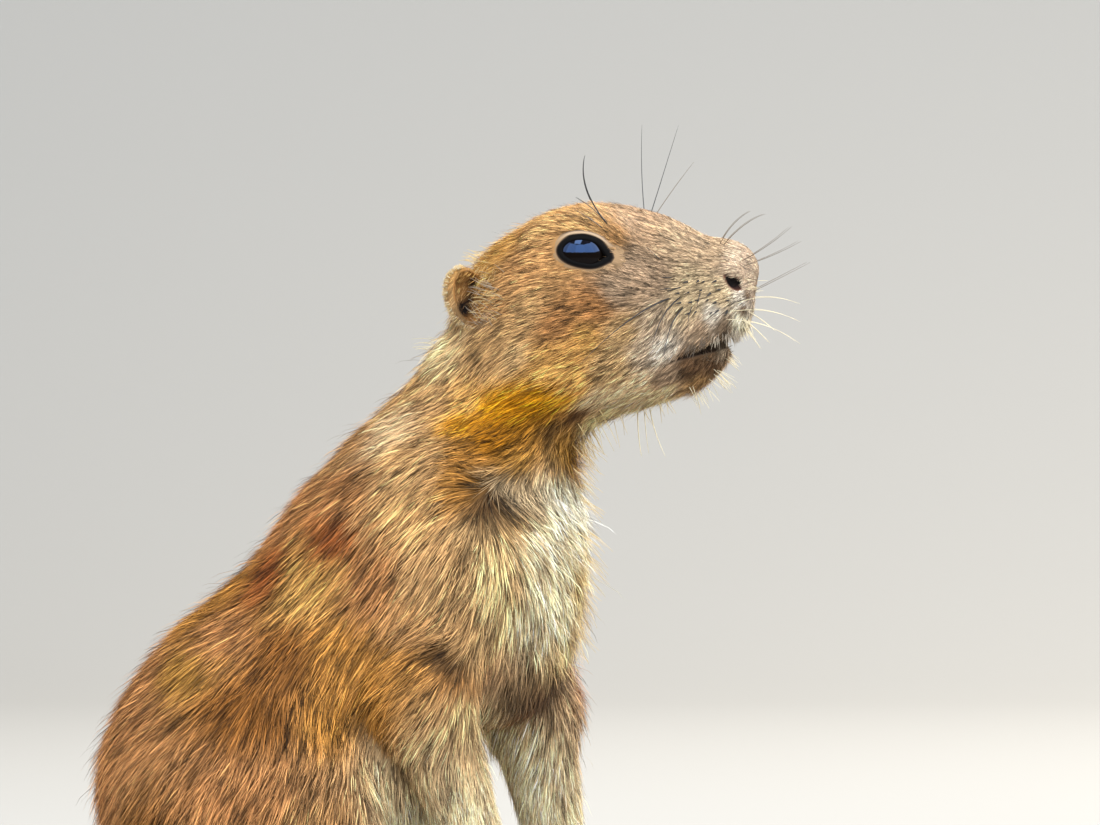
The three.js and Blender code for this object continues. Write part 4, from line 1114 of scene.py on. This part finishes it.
def lid_mesh(side):
    ahead = np.roll(OPENING, -1, 0) - np.roll(OPENING, 1, 0)
    outward = unit(np.stack([ahead[:, 1], -ahead[:, 0]], 1))
    above = np.clip((np.sin(turn - 0.05) - 0.35) / 0.45, 0, 1)
    wider = 1 + CORNER_WIDER * np.clip(np.cos(turn), 0, 1) ** 4
    verts, cols = [], []
    for distance, high_above, high_below, tint_above, tint_below in LID_ROWS:
        uw = OPENING + outward * (distance * wider)[:, None]
        p, n = on_face(side, uw[:, 0], uw[:, 1])
        lift = high_below + (high_above - high_below) * above + 0.45 * wider - 0.45
        if distance > 1:
            lift = lift + 0.05 * np.sin(9 * turn + 5 * distance)
        verts.append(p + n * lift[:, None])
        share = above[:, None]
        cols.append(LID_COLOURS[tint_below] * (1 - share) + LID_COLOURS[tint_above] * share)
    faces = []
    n = OPENING_STEPS
    for i in range(len(LID_ROWS) - 1):
        for j in range(n):
            k = (j + 1) % n
            faces.append((i * n + j, i * n + k, (i + 1) * n + k, (i + 1) * n + j))
    faces = np.array(faces)
    if side == "left":
        faces = faces[:, ::-1]
    lids = new_mesh("lids_" + side, np.concatenate(verts), faces)
    store_colour(lids.data, np.concatenate(cols))
    lids.data.materials.append(lid_material)
    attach(lids, "root")


for side in SIDES:
    lid_mesh(side)


# Claws
CLAW_ARCH = 0.3  # how far it bows up
CLAW_ROOT = 0.95  # its radius there, over that of the tip
CLAW_TIP = 0.08


def claw_path(digit, sign, steps=9):
    a = math.radians(digit["turned"] * sign)
    line, radius = [], []
    drop = digit["claw"][2] - 0.35
    for i in range(steps + 1):
        t = i / steps
        s = digit["length"] * t
        x, y, z = digit["claw"]
        z += CLAW_ARCH * math.sin(math.pi * t) - drop * t**2
        line.append((x + s * math.cos(a), y + s * math.sin(a), z))
        radius.append(CLAW_ROOT * (1 - t) ** 0.62 + CLAW_TIP)
    return line, radius


for key, (lines, digits) in DIGIT_LINES.items():
    kind, side = key.split("_")
    paths = [claw_path(d, SIDES[side]) for d in lines]
    verts, faces = tube([p for p, _ in paths], [r for _, r in paths], 10)
    verts[:, 2] = np.maximum(verts[:, 2], 0.05)
    claws = new_mesh(f"claws_{key}", verts, faces)
    claws.data.materials.append(claw_material)
    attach(claws, "root")
    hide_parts(*[f"{kind}_claw_{side}_{i + 1}" for i in range(5)])


# Whiskers: dark ones from the rows on the muzzle, over the eye and on the nose, pale ones at lips and chin
WHISKER_COLOURS = named_colours("""
dark .01 .008 .008; brown .1 .065 .035; pale .66 .56 .36; golden .56 .4 .17; ashen .34 .27 .19
""")
# The long ones, as seen from the side: x and z of the root, of the point it bends towards and of the tip,
# how far the tip stands from the midline, thickness, colour
WHISKERS = rows("""
126.5 154.4 120.2 162 121.9 168.8 15 .15 dark; 126.2 154.8 123.7 157.9 120 160 13 .11 dark;
139.4 138.8 131 136 120.4 124.8 25 .17 dark; 141.7 139 137.1 135.7 135.8 128.5 19 .15 dark;
142.3 136.9 138.9 133.5 138.3 126.5 19 .16 dark; 150.2 150.2 152.6 155 156.5 157.1 10 .055 brown;
150.8 149.8 155 155 159.6 156.5 13 .055 brown; 154.6 146.6 160 149.3 165 153.8 12 .06 brown;
155 145.6 161 147.4 167 150.8 15 .055 brown; 154.6 139 160.5 142 168.8 146.3 14 .05 brown;
153 137.6 160 140.5 166.7 137.7 17 .045 pale; 152 136 160 137.5 166.7 134 18 .05 pale;
151 134.4 160 134.5 166.7 129.4 17 .05 pale; 133 115 133 110 133.8 105.6 7 .08 pale;
135.6 115.4 136.4 110.5 138.8 105.6 9 .08 pale
""")
LEFT_BROW = rows("""
134.6 155.6 133.6 165 134 175.4 12 .1 dark; 135.4 155.2 138.2 164 141.7 175.2 13 .085 dark;
136 155 140.2 161.5 145 167.5 14 .07 brown
""")
SUNK = 1.0  # how deep a long one is rooted
SPRING = 0.8  # how much of its way outwards a whisker goes before its bend
# Shorter ones: root by x and z, way, how the way turns, length, thickness, colour
SHORT_WHISKERS = rows("""
125.4 153.6 -.75 .3 .62 -.2 0 -.1 8 .09 dark; 144.2 137 -.4 .45 -.75 .5 -.35 -.35 5.5 .09 dark;
139.8 141 -.95 .25 -.12 0 -.15 -.15 7 .1 dark; 141.9 141.2 -.88 .3 -.28 -.1 -.15 -.05 8 .1 dark;
140 143.2 -.97 .2 .05 0 -.1 -.1 5 .09 dark; 146 139.9 -.3 .5 -.75 .2 -.4 -.2 4 .08 dark;
137.5 147 -.7 .3 .62 -.1 -.1 .1 4 .07 dark; 156.2 136 .82 .35 -.42 0 0 -.3 7.5 .06 pale;
155.8 134 .74 .35 -.58 0 0 -.2 7 .06 pale; 155.4 132.8 .6 .3 -.7 0 0 -.2 6 .055 pale;
134.4 115 .05 .15 -.98 .1 0 0 9 .07 pale
""")
EAR_FRINGE = 260
STUB = (0.7, 1.5)  # shortest and longest of the stubs on the pad of the muzzle
# Where single hairs stand out: x, z, way, length, how far they scatter, number on each side, colour
BRISTLES = rows("""
155.6 132.8 .4 .3 -.85 3 1.4 30 pale; 154 131.2 .3 .3 -.9 2 1 34 ashen;
153.4 132.2 .2 .35 -.9 2.2 .8 22 ashen; 151.8 127.9 .4 .35 .3 1 .9 14 brown;
149.6 127.1 .35 .35 .35 1 .9 14 brown; 147.2 126.5 .2 .35 .35 1 .9 14 brown;
151.6 131.6 .1 .35 -.92 2.4 .9 20 ashen; 149.2 130.8 -.1 .35 -.92 2.2 .9 20 ashen;
146.8 130 -.25 .35 -.9 2.2 .9 18 brown; 144.4 129 -.4 .3 -.86 2.2 .9 16 brown;
152 126.5 .75 .35 -.55 3.2 1 10 pale; 150 122.5 .68 .3 -.66 4.6 1.8 18 pale;
145.5 119 .4 .3 -.85 4 2.4 14 pale; 157 141 .9 .4 .05 2.4 1.6 6 pale;
101.8 141 -.75 .38 .5 3.2 2.6 24 ashen; 102 138 -.86 .36 .1 3.2 2.6 22 golden;
100.6 135 -.62 .36 .55 2.8 2.4 20 ashen; 100.2 144.6 -.35 .32 -.75 2.6 2 20 golden;
102 137 -.6 .36 .35 2.6 2.4 18 brown; 130 112 .3 .2 -.92 5 2.4 26 golden;
124.5 111 .45 .2 -.85 6 2.4 34 golden; 121.5 108 .7 .2 -.66 6 2.2 30 golden;
99.5 147.5 -.75 .25 .45 3.6 2 22 golden; 88 133.5 -.8 .25 .1 4 2.4 30 pale;
89.5 131 -.75 .25 .1 4 2.6 30 pale; 139.5 115.5 .35 .15 -.9 3.4 2.6 14 golden;
133.5 112.5 .4 .15 -.88 4 2.6 14 golden; 127 109.5 .5 .15 -.82 4 2.4 12 golden;
122.5 103 .8 .2 -.5 5.2 2.6 22 golden; 123.5 97 .82 .2 -.5 5.8 2.8 26 golden;
124 90.5 .8 .2 -.56 6 2.8 26 golden; 123.5 84 .78 .2 -.6 5.8 2.8 24 golden;
122.5 77 .74 .2 -.64 5.6 2.8 22 golden; 121 70 .68 .2 -.7 5.2 2.8 18 golden;
119 63 .6 .2 -.76 4.8 2.8 14 golden
""")
paths, thick, tints = [], [], []


def keep_tube(line, r, tint):
    paths.append(line)
    thick.append(r * (1 - np.linspace(0, 1, len(line))) ** 0.8 + 0.022)
    tints.append(WHISKER_COLOURS[tint])


def long_whisker(row, sign, steps=14):
    """A curve from the skin of the muzzle or brow to its tip."""
    root_x, root_z, bend_x, bend_z, tip_x, tip_z, out, r, tint = row
    surface = half_width(root_x, root_z)
    root = mirrored((root_x, surface - SUNK, root_z), sign)
    bend = mirrored((bend_x, surface + (out - surface) * SPRING, bend_z), sign)
    tip = mirrored((tip_x, out, tip_z), sign)
    t = np.linspace(0, 1, steps + 1)[:, None]
    keep_tube(root * (1 - t) ** 2 + bend * 2 * t * (1 - t) + tip * t**2, r, tint)


def short_whisker(x, z, way, curl, reach, r, tint, sign, steps=8):
    """A hair that sets out one way and bends as it goes."""
    p = mirrored((x, max(half_width(x, z, BODY) - 0.4, 0.3), z), sign)
    d = unit(np.array(way, float) * (1, sign, 1))
    turn_by = np.array(curl, float) * (1, sign, 1) / steps
    line = []
    for _ in range(steps + 1):
        line.append(p)
        d = unit(d + turn_by)
        p = p + d * reach / steps
    keep_tube(np.array(line), r, tint)


for sign in SIDES.values():
    for row in WHISKERS:
        long_whisker(row, sign)
    for x, z, *row in SHORT_WHISKERS:
        short_whisker(x, z, row[:3], row[3:6], *row[6:], sign)
    for x, z in PAD_SPOTS:
        x, z = x + rng.normal(0, 0.3), z + rng.normal(0, 0.3)
        lean = np.array((-0.8, 0.6, -0.35)) + rng.normal(0, 0.25, 3)
        short_whisker(x, z, lean, (0, -0.3, -0.2), rng.uniform(*STUB), rng.uniform(0.17, 0.24), "dark", sign)
for row in LEFT_BROW:
    long_whisker(row, SIDES["left"])
for *row, reach, scatter, number, tint in BRISTLES:
    for sign in SIDES.values():
        for _ in range(int(number)):
            x, z = row[:2] + rng.normal(0, scatter * 0.6, 2)
            if half_width(x, z, BODY) <= 0:
                continue
            lean = row[2:] + rng.normal(0, 0.16, 3)
            sag = (0.0, 0.0, -rng.uniform(0.0, 0.5))
            own_reach = reach * rng.uniform(0.6, 1.2)
            short_whisker(x, z, lean, sag, own_reach, rng.uniform(0.035, 0.055), tint, sign)
for side in SIDES:
    centre, forward, out, up = EARS[side]
    for _ in range(EAR_FRINGE):
        a = math.radians(rng.uniform(75, 255))
        edge = (EAR["half"][0] * math.cos(a) * forward + EAR["half"][2] * math.sin(a) * up) * 0.93
        lean = unit(math.cos(a) * forward + math.sin(a) * up - 0.5 * forward + rng.normal(0, 0.25, 3))
        root = centre + edge + out * rng.uniform(-0.4, 1.4)
        line = root + lean * rng.uniform(0.4, 1.2) * np.linspace(0, 1, 5)[:, None]
        keep_tube(line, rng.uniform(0.03, 0.05), ("pale", "golden")[rng.integers(2)])
WHISKER_SIDES = 5
verts, faces = tube(paths, thick, WHISKER_SIDES)
verts[:, 2] = np.maximum(verts[:, 2], 0.05)
whiskers = new_mesh("whiskers", verts, faces)
store_colour(whiskers.data, np.repeat(tints, [WHISKER_SIDES * len(path) for path in paths], axis=0))
whiskers.data.materials.append(whisker_material)
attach(whiskers, "root")

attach(hide, "root")
flesh = [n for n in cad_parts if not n.startswith("eye") and "claw" not in n]
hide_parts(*flesh)


# Floor and backdrop in one sweep
SWEEP_FROM = -3.0
SWEEP_BEND = 1.2
SWEEP_RADIUS = 0.8
SWEEP_STEPS = 16
SWEEP_TOP = 4.0
SWEEP_HALF = 5.0
floor_mesh = bpy.data.meshes.new("floor")
profile = [(SWEEP_FROM, 0.0), (SWEEP_BEND, 0.0)]
for i in range(1, SWEEP_STEPS + 1):
    a = math.pi / 2 * i / SWEEP_STEPS
    profile.append((SWEEP_BEND + SWEEP_RADIUS * math.sin(a), SWEEP_RADIUS * (1 - math.cos(a))))
profile.append((SWEEP_BEND + SWEEP_RADIUS, SWEEP_TOP))
verts, faces = [], []
for y, z in profile:
    verts += [(-SWEEP_HALF, y, z), (SWEEP_HALF, y, z)]
for i in range(len(profile) - 1):
    faces.append((2 * i, 2 * i + 1, 2 * i + 3, 2 * i + 2))
floor_mesh.from_pydata(verts, [], faces)
floor_mesh.polygons.foreach_set("use_smooth", [True] * len(faces))
floor = placed("floor", floor_mesh)
floor_material, shader, _ = new_material("floor_pale", 0.9, 0.0, stored=False)
shader.inputs["Base Color"].default_value = (0.32, 0.315, 0.305, 1)
floor_mesh.materials.append(floor_material)

# Light
world = bpy.data.worlds.new("studio")
bpy.context.scene.world = world
world.use_nodes = True
sky = world.node_tree.nodes["Background"]
sky.inputs["Color"].default_value = (0.86, 0.92, 1.0, 1)
sky.inputs["Strength"].default_value = 0.28


def soft_light(name, at, aim, size, power, tint):
    light = bpy.data.lights.new(name, "AREA")
    light.shape = "RECTANGLE"
    light.size, light.size_y = size
    light.energy = power
    light.color = tint
    obj = placed(name, light)
    obj.location = at
    obj.rotation_euler = (Vector(aim) - Vector(at)).to_track_quat("-Z", "Y").to_euler()
    obj.visible_camera = False


# Panels like a bright sky, side by side on a half circle before the animal, above the level of its eye
SKY_FROM = 0.5
SKY_HEIGHT = 1.4
SKY_RADIUS = 1.35
SKY_STEP = 45
SKY_X = 0.05
SKY_TINT = (0.86, 0.93, 1.0)
sky_width = 2 * SKY_RADIUS * math.tan(math.radians(SKY_STEP / 2))
sky_middle = SKY_FROM + SKY_HEIGHT / 2
for i, power in enumerate((12, 22, 28, 26, 22)):
    turn_to = math.radians(-180 + i * SKY_STEP)
    place = (SKY_X + SKY_RADIUS * math.cos(turn_to), SKY_RADIUS * math.sin(turn_to), sky_middle)
    soft_light(f"sky_{i + 1}", place, (SKY_X, 0, sky_middle), (sky_width, SKY_HEIGHT), power, SKY_TINT)
soft_light("key", (-0.2, -0.7, 1.9), (0.06, 0.0, 0.10), (0.8, 0.8), 16, (1.0, 0.97, 0.92))
soft_light("rim", (0.95, 1.0, 1.15), (0.07, 0.0, 0.10), (0.5, 0.5), 50, (1.0, 0.93, 0.82))


# Camera: level with the head and square to the animal's right side
PIXELS_PER_MM = 4.8
FLOOR_ROW = 965.0
WIDTH, HEIGHT = 1100.0, 825.0
DISTANCE = 2.2
LOOK_DOWN = math.radians(1.0)
SENSOR = 36.0
LOOK_Y = -0.018
camera_data = bpy.data.cameras.new("camera")
camera = placed("camera", camera_data)
bpy.context.scene.camera = camera
camera_data.sensor_width = SENSOR
camera_data.lens = SENSOR * DISTANCE / (WIDTH / PIXELS_PER_MM * MM)
camera_data.clip_start = 0.05
look_x = (WIDTH / 2 / PIXELS_PER_MM - ORIGIN_X) * MM
look_z = (FLOOR_ROW - HEIGHT / 2) / PIXELS_PER_MM * MM
centre = Vector((look_x, LOOK_Y, look_z))
camera.location = centre + Vector((0, -DISTANCE * math.cos(LOOK_DOWN), DISTANCE * math.sin(LOOK_DOWN)))
camera.rotation_euler = (centre - camera.location).to_track_quat("-Z", "Y").to_euler()
bpy.context.scene.view_settings.view_transform = "Standard"
